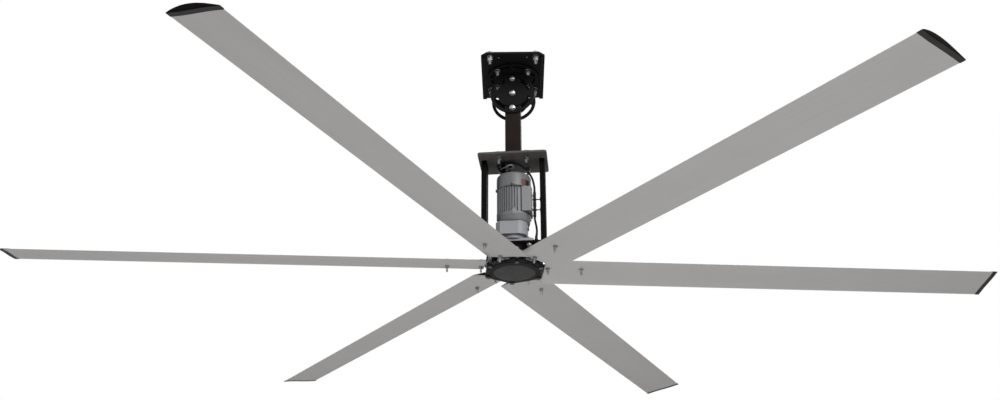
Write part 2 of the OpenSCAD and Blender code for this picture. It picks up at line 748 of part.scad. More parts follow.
module terminal_box() color("#a2a4a8") headed() difference() {
  translate([box_x[0], box_y[0], body_low + box_margin])
    cube([box_x[1] - box_x[0], box_y[1] - box_y[0], body_h - 2 * box_margin]);
  hole(body_r + hole_gap, body_low, body_top);
  difference() {
    translate([box_x[0] + box_wall, box_y[0] + box_wall, body_low + box_margin + box_wall])
      cube([100, box_y[1] - box_y[0] - 2 * box_wall, body_h - 2 * box_margin - 2 * box_wall]);
    cylinder(r = body_r + box_wall, h = 4 * body_h, center = true);
    hole(body_r + box_wall, body_low, body_top);
    for (y = [box_y[0] + 8, box_y[1] - 8], z = [body_low + 12, body_top - 12])
      translate([box_x[0], y - 6, z - 6]) cube([box_x[1] - box_x[0], 12, 12]);
  }
  for (y = [box_y[0] + 8, box_y[1] - 8], z = [body_low + 12, body_top - 12])
    translate([box_x[1] - 8, y, z]) rotate([0, 90, 0]) cylinder(r = 2 + thread_gap, h = 9);
}

module terminal_lid() color("#a8aaae") headed() difference() {
  translate([box_x[1], box_y[0], body_low + box_margin])
    cube([lid_t, box_y[1] - box_y[0], body_h - 2 * box_margin]);
  for (y = [box_y[0] + 8, box_y[1] - 8], z = [body_low + 12, body_top - 12])
    translate([box_x[1] - 1, y, z]) rotate([0, 90, 0]) cylinder(r = 2 + hole_gap, h = lid_t + 2);
}

// Plate on the cowl: the azimuths it covers, its heights above the cowl's foot and its thickness
label_arc = [-60, -27];
label_z = [4, 28];
label_t = 0.8;

module label_plate() color("#5c382f") headed() rotate([0, 0, label_arc[0]])
  translate([0, 0, body_top + label_z[0]]) rotate_extrude(angle = label_arc[1] - label_arc[0])
    translate([motor_r + 0.1, 0]) square([label_t, label_z[1] - label_z[0]]);

// Safety eye, shackle and cable

shackle_rod = 3;
shackle_gap = 11;
shackle_len = 40;
shackle_turn = -41;
eye_low = leg_top - 24;

module safety_eye() color("#2b2b2b") headed() translate(eye_place) difference() {
  union() {
    translate([0, 0, eye_low - 9]) cylinder(r = 8, h = leg_top - eye_low + 9);
    translate([0, 0, leg_top - 1]) cylinder(d = m10[0], h = frame_t + 0.5);
  }
  translate([0, 0, eye_low]) rotate([90, 0, shackle_turn])
    cylinder(r = shackle_rod + 0.6, h = 40, center = true);
}

// The shackle is a bar through the eye with two arms and a round bow, lying level
module safety_shackle() color("#b9bcbd") headed() translate([eye_place[0], eye_place[1], eye_low])
  rotate([0, 0, shackle_turn]) {
    rotate([90, 0, 0]) cylinder(r = shackle_rod, h = 2 * shackle_gap, center = true);
    for (s = [-1, 1]) translate([0, s * shackle_gap, 0]) {
      sphere(r = shackle_rod);
      rotate([0, 90, 0]) cylinder(r = shackle_rod, h = shackle_len);
    }
    translate([shackle_len, 0, 0]) rotate([0, 0, -90]) rotate_extrude(angle = 180)
      translate([shackle_gap, 0]) circle(r = shackle_rod);
  }

// Points along a smooth curve through a route, three to a stretch
function blend(p0, p1, p2, p3, t) = 0.5 * ((2 * p1) + (p2 - p0) * t
  + (2 * p0 - 5 * p1 + 4 * p2 - p3) * t * t + (3 * p1 - p0 - 3 * p2 + p3) * t * t * t);
function smooth(r) = let (n = len(r) - 1) concat([for (i = [0:n - 1], k = [0:1])
  blend(r[max(i - 1, 0)], r[i], r[i + 1], r[min(i + 2, n)], k / 2)], [r[n]]);
function unit(v) = v / norm(v);
function heading_at(r, i) = unit(r[min(i + 1, len(r) - 1)] - r[max(i - 1, 0)]);

cable_sides = 10;

// A round tube swept along a route, with a ring of points at each place
module cable_tube(route, r) {
  path = smooth(route);
  n = len(path);
  m = cable_sides;
  rings = [for (i = [0:n - 1]) let (t = heading_at(path, i), u = unit(cross(t, [1, 1, -1])), v = cross(t, u))
    for (k = [0:m - 1]) path[i] + r * (cos(360 * k / m) * u + sin(360 * k / m) * v)];
  sides = [for (i = [0:n - 2], k = [0:m - 1]) let (a = i * m + k, b = i * m + (k + 1) % m)
    each [[a, a + m, b], [b, a + m, b + m]]];
  caps = [for (k = [1:m - 2]) each [[0, k, k + 1], [(n - 1) * m, (n - 1) * m + k + 1, (n - 1) * m + k]]];
  polyhedron(points = rings, faces = concat(sides, caps));
}

function lifted(route, z) = [for (p = route) p + [0, 0, z]];

module motor_cable() color("#101010") headed() {
  cable_tube(lifted(upper_route, leg_top), cable_d / 2);
  cable_tube(lifted(lower_route, leg_low), cable_d / 2);
}

module cable_connector() color("#0d0d0d") headed()
  translate([connector_at[0], connector_at[1], connector_low]) cylinder(d = connector_d, h = connector_len);

module cable_glands() color("#141414") headed() {
  translate(gland_up) difference() {
    union() {
      translate([0, 0, leg_top - gland_h]) cylinder(r = gland_r, h = gland_h);
      translate([0, 0, leg_top - 0.01]) cylinder(r = gland_stud_r, h = frame_t + gland_nut[1]);
      translate([0, 0, frame_top]) hex_blank(gland_nut[0], gland_nut[1]);
    }
    hole(gland_bore, leg_top - gland_h, frame_top + gland_nut[1]);
  }
  translate(gland_low) difference() {
    union() {
      translate([0, 0, leg_low]) cylinder(r = gland_r, h = gland_low_h);
      translate([0, 0, frame_low - gland_nut[1]])
        cylinder(r = gland_stud_r, h = frame_t + gland_nut[1] + 0.01);
      translate([0, 0, frame_low - gland_nut[1]]) hex_blank(gland_nut[0], gland_nut[1]);
    }
    hole(gland_bore, frame_low - gland_nut[1], leg_low + gland_low_h);
  }
}

// Each tie is a band round the connector with a strap that reaches the leg
tie_drops = [168, 211];

module cable_ties() color("#121212") headed() for (drop = tie_drops)
  translate([connector_at[0], connector_at[1], leg_top - drop]) difference() {
    union() {
      cylinder(r = connector_d / 2 + 1.8, h = 4);
      translate([0, -1.5, 0]) cube([leg_out - leg_t - connector_at[0], 3, 4]);
      translate([leg_out - leg_t - connector_at[0] - 2, -8, -4]) cube([2, 16, 12]);
    }
    hole(connector_d / 2 + thread_gap, 0, 4);
  }

// Turning parts of the gearmotor

// Straight-sided teeth on a pitch circle, drawn a little thin so that meshed gears run free
function tooth_points(teeth, phase) = let (r = gear_module * teeth / 2, half = 90 / teeth * 0.86,
  tip = r + 0.9 * gear_module, root = r - 1.2 * gear_module,
  lean = tan(20) * gear_module / r * 180 / PI)
  [for (k = [0:teeth - 1]) let (a = phase + k * 360 / teeth) each [
    root * [cos(a - half - lean), sin(a - half - lean)],
    tip * [cos(a - half + lean), sin(a - half + lean)],
    tip * [cos(a + half - lean), sin(a + half - lean)],
    root * [cos(a + half + lean), sin(a + half + lean)]]];

module toothed(teeth, phase, height) {
  linear_extrude(height) polygon(tooth_points(teeth, phase));
}

// The lay shaft lies at 180 degrees: its teeth point back to the axis, and the two gears
// on the axis have a gap there
module motor_shaft() color("#a9adb0") headed() {
  translate([0, 0, lay_gear_z]) toothed(motor_teeth, 180 + 180 / motor_teeth, gear_face);
  translate([0, 0, lay_gear_z + gear_face]) cylinder(r = 5, h = shield_low + 5 - lay_gear_z - gear_face);
  translate([0, 0, shield_low + 5])
    cylinder(r = motor_shaft_r, h = vane_z + vane_h - 2 - shield_low - 5);
}

module rotor_core() color("#7b7f83") headed() translate([0, 0, core_low])
  ring(rotor_core_r, motor_shaft_r + shaft_gap, core_h);

module cooling_fan() color("#303133") headed() translate([0, 0, vane_z]) difference() {
  union() {
    cylinder(r = 16, h = vane_h + 2);
    cylinder(r = vane_r, h = 2.5);
    for (k = [0:vane_count - 1]) rotate([0, 0, k * 360 / vane_count]) translate([0, -1.2, 1])
      cube([vane_r - 1, 2.4, vane_h - 1]);
  }
  hole(motor_shaft_r + shaft_gap, 0, vane_h + 2);
}

module layshaft() color("#b3b7b9") headed() translate([lay_x, 0, 0]) {
  translate([0, 0, case_floor - lay_bearing[1]])
    cylinder(r = lay_shaft_r, h = case_top + lay_bearing[1] - case_floor + lay_bearing[1] - 0.5);
  translate([0, 0, out_gear_z]) toothed(lay_pinion_teeth, 0, gear_face);
  translate([0, 0, lay_gear_z]) toothed(lay_gear_teeth, 0, gear_face);
}

module output_shaft() color("#b0b4b6") headed() translate([0, 0, shaft_low])
  cylinder(r = out_r, h = out_gear_z + gear_face - shaft_low);

module output_gear() color("#8e9295") headed() translate([0, 0, out_gear_z]) difference() {
  toothed(out_teeth, 180 + 180 / out_teeth, gear_face);
  hole(out_r + shaft_gap, 0, gear_face);
}

// Hub

retainer_r = 24;

// Six-sided plate with its corners between the blades
module hub_plate(height) {
  rotate([0, 0, rotor_rest + blade_step / 2]) cylinder(r = hub_af / sqrt(3), h = height, $fn = 6);
}

module around_hub(offset_angle) {
  for (k = [0:blade_count - 1]) rotate([0, 0, rotor_rest + offset_angle + k * blade_step]) children();
}

block_end = hub_af / 2 - 3;
block_bolts = [block_r + 11, block_end - 11];

module hub_lower_plate() color("#b4b8bb") difference() {
  translate([0, 0, hub_plate_low]) hub_plate(hub_plate_t);
  hole(retainer_r + 2, hub_plate_low, block_low);
  around_hub(blade_step / 2) translate([corner_bolt_r, 0, 0])
    hole(m10[0] / 2 + hole_gap, hub_plate_low, block_low);
  around_hub(0) for (r = block_bolts) translate([r, spar_mid, hub_plate_low])
    mirror([0, 0, 1]) flat_hole(m8, hub_plate_t + 1);
}

module hub_upper_plate() color("#1d1d1e") difference() {
  union() {
    translate([0, 0, block_top]) hub_plate(hub_top_t);
    translate([0, 0, shaft_low]) cylinder(r = boss_r, h = boss_top - shaft_low);
  }
  hole(out_r + shaft_gap, shaft_low, boss_top);
  around_hub(blade_step / 2) translate([corner_bolt_r, 0, 0])
    hole(m10[0] / 2 + hole_gap, block_top, hub_top);
  around_hub(0) for (r = block_bolts) translate([r, spar_mid, 0])
    hole(m8[0] / 2 + hole_gap, block_top, hub_top);
}

module hub_cover() color("#2b2a2a") translate([0, 0, hub_plate_low - cover_rim_h - cover_face_h])
  rotate_extrude() difference() {
    polygon([[0, 0], [cover_face_r - cover_face_h, 0], [cover_face_r, cover_face_h],
      [cover_r - 1, cover_face_h], [cover_r, cover_face_h + 1], [cover_r, cover_face_h + cover_rim_h],
      [0, cover_face_h + cover_rim_h]]);
    polygon([[-1, cover_wall], [cover_face_r - cover_face_h - cover_wall / 2, cover_wall],
      [cover_face_r - cover_wall / 2, cover_face_h + cover_rim_h + 0.01],
      [-1, cover_face_h + cover_rim_h + 0.01]]);
  }

module shaft_retainer() color("#a5a7a8") {
  translate([0, 0, shaft_low - 4]) cylinder(r = retainer_r, h = 4);
  translate([0, 0, shaft_low - 4]) mirror([0, 0, 1]) hex_blank(m10[1], 3.8);
}

module hub_bolts() color("#b9bbbc") {
  around_hub(blade_step / 2) translate([corner_bolt_r, 0, 0]) {
    translate([0, 0, hub_plate_low]) mirror([0, 0, 1]) hex_bolt(m10, hub_top - hub_plate_low + 10);
    translate([0, 0, block_low]) ring(m10[0] / 2 + 3.5, m10[0] / 2 + thread_gap, block_h);
    translate([0, 0, hub_top]) nut(m10, 8);
  }
  around_hub(0) for (r = block_bolts) translate([r, spar_mid, 0]) {
    translate([0, 0, hub_plate_low]) mirror([0, 0, 1]) flat_screw(m8, hub_top - hub_plate_low + 8);
    translate([0, 0, hub_top]) nut(m8, 6.5);
  }
}

// Blades

function skin_up(u) = blade_thick * sin(180 * pow(u, 0.74)) + edge_t * u;
function skin_low(u) = -blade_wave * sin(360 * u);
function along(u) = (u - 0.5) * chord;

skin_steps = 18;
web_1 = 0.2;
web_2 = 0.5;
web_t = 2;

// Outline of the airfoil from the leading edge round to the trailing edge and back, grown by g
function airfoil(g) = concat(
  [for (k = [0:skin_steps]) let (u = (1 - cos(180 * k / skin_steps)) / 2)
    [(u - 0.5) * (chord + 2 * g), skin_low(u) - g]],
  [for (k = [skin_steps:-1:0]) let (u = (1 - cos(180 * k / skin_steps)) / 2)
    [(u - 0.5) * (chord + 2 * g), skin_up(u) + g]]);

// Outline of one hollow cell between two places along the chord, one wall in from the skin
function cell(u1, u2, inset) = let (n = 5) concat(
  [for (k = [0:n]) let (u = u1 + (u2 - u1) * k / n) [along(u), skin_low(u) + inset]],
  [for (k = [n:-1:0]) let (u = u1 + (u2 - u1) * k / n) [along(u), skin_up(u) - inset]]);

module cells(inset, shrink) {
  side = shrink / chord;
  polygon(cell(0.06 + side, web_1 - web_t / chord - side, inset));
  polygon(cell(web_1 + side, web_2 - side, inset));
  polygon(cell(web_2 + web_t / chord + side, 0.84 - side, inset));
}

// A blade's own frame: x runs out along the blade, y back along the chord, z up through it
module blade_frame(k) {
  rotate([0, 0, rotor_rest + (k - 1) * blade_step]) translate([0, chord_mid, rotor_z])
    rotate([0, droop, 0]) rotate([-pitch, 0, 0]) children();
}

module outward(start, length) {
  translate([start, 0, 0]) rotate([90, 0, 90]) linear_extrude(length) children();
}

spar_s = (spar_mid - chord_mid) / cos(pitch);
spar_u = spar_s / chord + 0.5;
spar_low = skin_low(spar_u) + blade_wall + blade_wave / 2 + 0.3;
blade_end = rotor_r - cap_len;

module blade(k) color("#9b9894") blade_frame(k) difference() {
  outward(root_r, blade_end - root_r) difference() {
    polygon(airfoil(0));
    cells(blade_wall, 0);
  }
  for (r = [bolt_r_in, bolt_r_out]) translate([r, spar_s, 0])
    hole(m8[0] / 2 + hole_gap, -5, 2 * blade_thick);
}

module tip_caps() color("#2d2a2a") for (k = [1:blade_count]) blade_frame(k) {
  outward(blade_end, cap_len) polygon(airfoil(cap_proud));
  outward(blade_end - plug_len, plug_len + 0.01) cells(blade_wall + run_gap, 1);
}

module spars() color("#85888b") for (k = [1:blade_count]) difference() {
  union() {
    blade_frame(k) translate([block_end - 10, spar_s - spar_w / 2, spar_low])
      cube([spar_end - block_end + 10, spar_w, spar_t]);
    rotate([0, 0, rotor_rest + (k - 1) * blade_step])
      translate([block_r, spar_mid - block_w / 2, block_low]) cube([block_end - block_r, block_w, block_h]);
  }
  blade_frame(k) for (r = [bolt_r_in, bolt_r_out]) translate([r, spar_s, 0])
    hole(m8[0] / 2 + hole_gap, -5, 2 * blade_thick);
  rotate([0, 0, rotor_rest + (k - 1) * blade_step]) for (r = block_bolts) translate([r, spar_mid, 0])
    hole(m8[0] / 2 + hole_gap, block_low, block_top);
}

module blade_bolts() color("#b5b7b8") for (k = [1:blade_count], r = [bolt_r_in, bolt_r_out])
  blade_frame(k) translate([r, spar_s, 0]) {
    top = skin_up(spar_u) + 0.4;
    low = skin_low(spar_u) - 0.4;
    translate([0, 0, top]) washer(m8, m8[0], 1.6);
    translate([0, 0, top + 1.6]) hex_bolt(m8, top + 1.6 - low + bolt_hang);
    translate([0, 0, low - 1.6]) washer(m8, m8[0], 1.6);
    translate([0, 0, low - 1.6 - 8]) nut(m8, 8);
  }

ceiling_plate();
anchor_bolts();
swivel_bolts();
swivel_disc();
ear_front();
ear_rear();
down_tube();
tilt_bolts();
flange_bolts();
frame_top_plate();
leg_left();
leg_right();
frame_bottom_plate();
leg_screws();
gearbox_flange();
gearbox_bolts();
gear_case();
gear_case_cover();
oil_plug();
gearbox_bearings();
shaft_seal();
motor_end_shield();
motor_body();
stator_core();
stator_windings();
motor_rear_shield();
motor_bearings();
fan_cowl();
cowl_screws();
terminal_box();
terminal_lid();
label_plate();
safety_eye();
safety_shackle();
cable_glands();
motor_cable();
cable_connector();
cable_ties();
motor_shaft();
rotor_core();
cooling_fan();
layshaft();
output_shaft();
output_gear();
hub_lower_plate();
hub_upper_plate();
hub_cover();
spars();
tip_caps();
blade_bolts();
hub_bolts();
shaft_retainer();
for (k = [1:blade_count]) blade(k);
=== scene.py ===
# %% [markdown]
# # A ceiling fan with six long blades
#
# This lesson dresses a imported CAD model of an industrial ceiling fan. The CAD gives every part its
# place, and each new piece is built in that same frame, in metres, with +Z up and the origin in the
# middle of the ceiling plate's top face. We load the model first.

# %% Load the imported model
import json
import math

import bmesh
import bpy
import numpy as np
from mathutils import Matrix, Vector

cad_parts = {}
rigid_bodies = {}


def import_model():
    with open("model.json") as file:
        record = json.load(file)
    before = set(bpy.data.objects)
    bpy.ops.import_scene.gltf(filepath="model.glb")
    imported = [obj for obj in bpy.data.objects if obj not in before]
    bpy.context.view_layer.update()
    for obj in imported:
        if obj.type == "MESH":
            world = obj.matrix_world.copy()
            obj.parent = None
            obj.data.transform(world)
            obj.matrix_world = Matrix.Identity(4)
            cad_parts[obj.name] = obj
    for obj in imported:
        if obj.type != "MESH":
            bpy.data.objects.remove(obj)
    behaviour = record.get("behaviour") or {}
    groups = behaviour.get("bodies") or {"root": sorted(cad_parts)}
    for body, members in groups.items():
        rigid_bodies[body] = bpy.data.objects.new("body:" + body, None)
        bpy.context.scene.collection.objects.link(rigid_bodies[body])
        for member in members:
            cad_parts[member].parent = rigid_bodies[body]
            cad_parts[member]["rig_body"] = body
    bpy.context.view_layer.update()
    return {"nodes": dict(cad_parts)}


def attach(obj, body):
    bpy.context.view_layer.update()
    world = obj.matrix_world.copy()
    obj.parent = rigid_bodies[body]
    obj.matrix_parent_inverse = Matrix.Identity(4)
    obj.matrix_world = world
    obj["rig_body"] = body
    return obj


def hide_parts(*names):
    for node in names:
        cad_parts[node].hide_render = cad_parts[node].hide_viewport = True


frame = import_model()

# %% [markdown]
# ## The camera
#
# The picture looks up at the fan from below. A camera is a place, three turns and a lens. The forward
# direction comes from yaw and pitch, the right and up directions from it, and the roll turns those two.

# %% Camera
MM = 0.001
FOCAL_PX, PICTURE_PX, SENSOR = 1094.78, 1000, 36


def camera_axes(yaw, pitch, roll):
    """Forward is (sin yaw cos pitch, cos yaw cos pitch, sin pitch). Right is level and square to it,
    up is right x forward, and both turn about forward by the roll."""
    level = math.cos(pitch)
    forward = np.array([math.sin(yaw) * level, math.cos(yaw) * level, math.sin(pitch)])
    right = np.array([math.cos(yaw), -math.sin(yaw), 0.0])
    up = np.cross(right, forward)
    turned = right * math.cos(roll) + up * math.sin(roll)
    return turned, up * math.cos(roll) - right * math.sin(roll), forward


right, up, forward = camera_axes(yaw=-0.0133, pitch=0.4402, roll=-0.002)
camera = bpy.data.objects.new("camera", bpy.data.cameras.new("camera"))
bpy.context.scene.collection.objects.link(camera)
matrix = np.eye(4)
matrix[:3, 0], matrix[:3, 1], matrix[:3, 2] = right, up, -forward
matrix[:3, 3] = np.array([-2.8, -3787.0, -2342.7]) * MM
camera.matrix_world = Matrix(matrix.tolist())
camera.data.sensor_width = SENSOR
camera.data.lens = FOCAL_PX * SENSOR / PICTURE_PX
camera.data.clip_start, camera.data.clip_end = 0.05, 100
bpy.context.scene.camera = camera
bpy.context.scene.view_settings.view_transform = "Standard"
print("camera at", matrix[:3, 3].round(3), "lens", round(camera.data.lens, 2), "mm")

# %% [markdown]
# ## Numbers that the pieces share
#
# The heights repeat the CAD's, in millimetres below the ceiling. Everything under the ceiling plate
# is turned a little about the vertical, which is how the swivel was set when the fan was hung. A
# fastener's size is its thread's diameter, its width over the flats, its head's height and its pitch.

# %% Heights, headings and fastener sizes
PIVOT_Z, TUBE_LOW, FRAME_TOP, LEG_TOP, LEG_LOW, FRAME_LOW = -107.5, -386, -394, -402, -744, -752
MOUNT_TOP, SHIELD_LOW, BODY_LOW, BODY_TOP = -734, -669, -633, -525
ROTOR_Z, HUB_LOW, BLOCK_LOW, BLOCK_TOP, HUB_TOP = -840, -855, -846, -816, -808
SWIVEL_SET, ROTOR_REST, PITCH, DROOP, BLADE_Y, SPAR_Y = -4.5, 4.8, 10.3, 0.1, 28.9, 4
M12, M10, M8, M6 = (12, 18, 7.5, 1.75), (10, 16, 6.4, 1.5), (8, 13, 5.3, 1.25), (6, 10, 4, 1.0)
UP = np.array([0, 0, 1.0])


def shift(x, y, z):
    """A 4x4 matrix that moves by (x, y, z)."""
    m = np.eye(4)
    m[:3, 3] = x, y, z
    return m


def turn(axis, degrees):
    """A 4x4 matrix that turns about one of the axes 0, 1 or 2: cos and sin in the other two rows."""
    m, a, b = np.eye(4), (axis + 1) % 3, (axis + 2) % 3
    c, s = math.cos(math.radians(degrees)), math.sin(math.radians(degrees))
    m[a, a], m[a, b], m[b, a], m[b, b] = c, -s, s, c
    return m


HEADED = turn(2, SWIVEL_SET)


def blade_place(k):
    """Blade k's frame: x runs out along it, y back along the chord, z up through it."""
    return turn(2, ROTOR_REST + 60 * k) @ shift(0, BLADE_Y, ROTOR_Z) @ turn(1, DROOP) @ turn(0, -PITCH)


BLADES = [blade_place(k) for k in range(6)]


def moved(points, m):
    """Points after a 4x4 matrix: rotate, then add the last column."""
    return points @ m[:3, :3].T + m[:3, 3]


print("fan hangs", -HUB_LOW, "mm below the ceiling")

# %% [markdown]
# ## Surfaces from numpy grids
#
# Nearly every piece is a grid of points folded into a surface: rings of a turned part, sections of an
# extrusion, turns of a thread. A grid knows its own faces, so one helper makes them all, and another
# makes a Blender mesh of the arrays, with merged seams and outward faces.

# %% Grid helpers
def skin(points):
    """Points (rows, cols, 3) as a shape: each face joins (i, j), (i, j+1), (i+1, j+1), (i+1, j),
    and each row closes into a ring."""
    rows, cols = points.shape[:2]
    i, j = np.meshgrid(np.arange(rows - 1), np.arange(cols), indexing="ij")
    k = (j + 1) % cols
    quads = np.stack([i * cols + j, i * cols + k, (i + 1) * cols + k, (i + 1) * cols + j], -1)
    return points.reshape(-1, 3), quads.reshape(-1, 4)


def circle(n):
    """The n angles of one turn."""
    return np.arange(n) * 2 * np.pi / n


def polar(r, a, z):
    """Points (r cos a, r sin a, z), with all three spread over one grid."""
    return np.stack(np.broadcast_arrays(r * np.cos(a), r * np.sin(a), z), -1)


def turned(profile, sides=48):
    """A profile of (radius, height) carried round the z axis."""
    p = np.asarray(profile, float)
    return skin(polar(p[:, :1], circle(sides), p[:, 1:]))


def layers(rows):
    """Outlines (x, y), each at its height, as one shape."""
    return skin(np.stack([np.column_stack([p, np.full(len(p), z)]) for p, z in rows]))


def ringed(path, side, lift, radius, sides):
    """A ring round each point of a path: point + r (cos a side + sin a lift)."""
    a = circle(sides)[:, None]
    section = side[:, None] * np.cos(a) + lift[..., None, :] * np.sin(a)
    return path[:, None] + section * np.reshape(radius, (-1, 1, 1))


def placed(shape, m):
    """A shape after a 4x4 matrix."""
    return moved(shape[0], m), shape[1]


def outward(shape):
    """A closed shape with its faces pointing out. The volume that its faces a, b, c, d enclose, the
    sum of a . (b x c + c x d) over 6, is positive then. If it isn't, every face is turned over."""
    points, faces = shape
    a, b, c, d = (points[faces[:, i]] - points.mean(0) for i in range(4))
    return shape if (a * (np.cross(b, c) + np.cross(c, d))).sum() > 0 else (points, faces[:, ::-1])


def joined(shapes):
    """Several shapes as one: each one's face numbers go up by the points before it."""
    starts = np.cumsum([0] + [len(p) for p, _ in shapes[:-1]])
    return np.vstack([p for p, _ in shapes]), np.vstack([f + s for (_, f), s in zip(shapes, starts)])


def shown(name, mesh, finish, body, nodes, angle):
    """A mesh as an object that rides on a body, smooth but for edges sharper than the angle."""
    mesh.shade_smooth()
    mesh.set_sharp_from_angle(angle=math.radians(angle))
    mesh.materials.clear()
    mesh.materials.append(finish)
    made = bpy.data.objects.new(name, mesh)
    bpy.context.scene.collection.objects.link(made)
    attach(made, body)
    if nodes:
        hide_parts(*nodes)
    print(f"{name}: {len(mesh.polygons)} faces")
    return made


def piece(name, shapes, finish, nodes=(), angle=32, ends=(), body="hanging_frame"):
    """Shapes in millimetres as one object. Doubles are merged, so poles and seams close. An end is a
    4x4 place whose x axis leaves the piece's open end: the open edges that lie in that plane,
    |(p - origin) . x| < 0.01 mm, are filled flat as one outline with its holes."""
    points, faces = joined([outward(s) for s in shapes])
    mesh = bpy.data.meshes.new(name)
    mesh.from_pydata((points * MM).tolist(), [], faces.tolist())
    bm = bmesh.new()
    bm.from_mesh(mesh)
    bmesh.ops.remove_doubles(bm, verts=bm.verts, dist=1e-6)
    bmesh.ops.dissolve_degenerate(bm, dist=1e-7, edges=bm.edges)
    for end in ends:
        origin, across = Vector(end[:3, 3] * MM), Vector(end[:3, 0])
        rim = [e for e in bm.edges if e.is_boundary and all(
            abs((v.co - origin).dot(across)) < 1e-5 for v in e.verts)]
        bmesh.ops.triangle_fill(bm, edges=rim, use_beauty=True, normal=across)
    if ends:
        bmesh.ops.recalc_face_normals(bm, faces=bm.faces)
    bm.to_mesh(mesh)
    bm.free()
    return shown(name, mesh, finish, body, nodes, angle)


def mapped(made, place, rule):
    """Writes a UV map: the rule makes u and v from x, y and z, millimetres in the place's frame."""
    mesh = made.data
    co, corner_of = np.empty(len(mesh.vertices) * 3, np.float32), np.empty(len(mesh.loops), np.int32)
    mesh.vertices.foreach_get("co", co)
    mesh.loops.foreach_get("vertex_index", corner_of)
    uv = np.stack(rule(*moved(co.reshape(-1, 3) / MM, np.linalg.inv(place)).T), -1)[corner_of]
    mesh.uv_layers.new(name="map").data.foreach_set("uv", uv.astype(np.float32).ravel())


# %% [markdown]
# ## Finishes
#
# A finish is a small tree of nodes that starts from object coordinates, so it has a real size in
# metres. Noise changes the colour and the roughness a little, a finer noise becomes the bump, and
# the convex edges, found by pointiness, show wear. The shader's own sockets hold what is constant.

# %% Helpers for finishes
def linked(tree, kind, inputs=None, **settings):
    """Adds a node, sets its properties, and fills each input with a value or a link."""
    n = tree.nodes.new(kind)
    for key, value in settings.items():
        setattr(n, key, value)
    for key, value in (inputs or {}).items():
        if isinstance(value, bpy.types.NodeSocket):
            tree.links.new(value, n.inputs[key])
        else:
            n.inputs[key].default_value = value
    return n


def noise(tree, where, scale, detail=3.0):
    """A noise of that many cells to the metre."""
    values = {"Vector": where, "Scale": scale, "Detail": detail, "Roughness": 0.55}
    return linked(tree, "ShaderNodeTexNoise", values).outputs["Fac"]


def spread(tree, value, low=0, high=1, start=0.3, end=0.7):
    """Maps the pattern's start and end to two new numbers, and keeps it between them."""
    values = {"Value": value, "From Min": start, "From Max": end, "To Min": low, "To Max": high}
    return linked(tree, "ShaderNodeMapRange", values).outputs["Result"]


def blended(tree, share, first, second):
    """The first colour where share is 0, and the second where it is 1."""
    first, second = ((*c, 1) if isinstance(c, tuple) else c for c in (first, second))
    return linked(tree, "ShaderNodeMix", {0: share, 6: first, 7: second}, data_type="RGBA").outputs[2]


def combined(tree, operation, first, second):
    """Two values put together by a math node."""
    return linked(tree, "ShaderNodeMath", {0: first, 1: second}, operation=operation).outputs[0]


def stretched(tree, where, scale):
    """A coordinate times a scale for each axis."""
    return linked(tree, "ShaderNodeMapping", {"Vector": where, "Scale": scale}).outputs["Vector"]


def off_axis(tree, where):
    """The distance from the z axis: the length of (x, y, 0)."""
    flat = stretched(tree, where, (1, 1, 0))
    return linked(tree, "ShaderNodeVectorMath", {0: flat}, operation="LENGTH").outputs["Value"]


def worn(tree):
    """How much a convex edge stands out, from 0 on a flat to 1 on a sharp edge."""
    return spread(tree, linked(tree, "ShaderNodeNewGeometry").outputs["Pointiness"], 0, 1, 0.53, 0.6)


def material(name, rule, metallic=0.0, specular=0.5, coordinates="Object", stretch=(1, 1, 1)):
    """A material. Its rule draws from a coordinate and gives the colour, the roughness and the height
    of the bump, with the bump's strength and its depth in metres."""
    m = bpy.data.materials.new(name)
    m.use_nodes = True
    tree, shader = m.node_tree, m.node_tree.nodes["Principled BSDF"]
    shader.inputs["Metallic"].default_value = metallic
    shader.inputs["Specular IOR Level"].default_value = specular
    where = stretched(tree, linked(tree, "ShaderNodeTexCoord").outputs[coordinates], stretch)
    colour, rough, height, strength, depth = rule(tree, where)
    bump = linked(tree, "ShaderNodeBump", {"Height": height, "Strength": strength, "Distance": depth})
    tree.links.new(colour, shader.inputs["Base Color"])
    tree.links.new(rough, shader.inputs["Roughness"])
    tree.links.new(bump.outputs["Normal"], shader.inputs["Normal"])
    return m


def paint(name, dark, light, edge, rough=(0.4, 0.55), specular=0.4, metallic=0.0, grain=900, depth=0.0001,
          patch=14, wear=0.5):
    """Paint on steel or a casting: two tones in soft patches, a fine grain, and paler worn edges."""
    def rule(tree, where):
        tone = blended(tree, spread(tree, noise(tree, where, patch)), dark, light)
        chips = combined(tree, "MULTIPLY", worn(tree), spread(tree, noise(tree, where, 220), 0, wear))
        return (blended(tree, chips, tone, edge), spread(tree, noise(tree, where, patch * 4), *rough),
                noise(tree, where, grain, 4), 0.35, depth)
    return material(name, rule, metallic, specular)


def bare(name, dark, light, rough=(0.25, 0.45), grain=600, stretch=(1, 1, 1), depth=0.00004, patch=30):
    """Bare or plated metal: two tones, uneven gloss, and a grain that stretch draws out into lines."""
    def rule(tree, where):
        return (blended(tree, spread(tree, noise(tree, where, patch)), dark, light),
                spread(tree, noise(tree, where, patch * 3), *rough), noise(tree, where, grain, 2), 0.4, depth)
    return material(name, rule, 1.0, stretch=stretch)
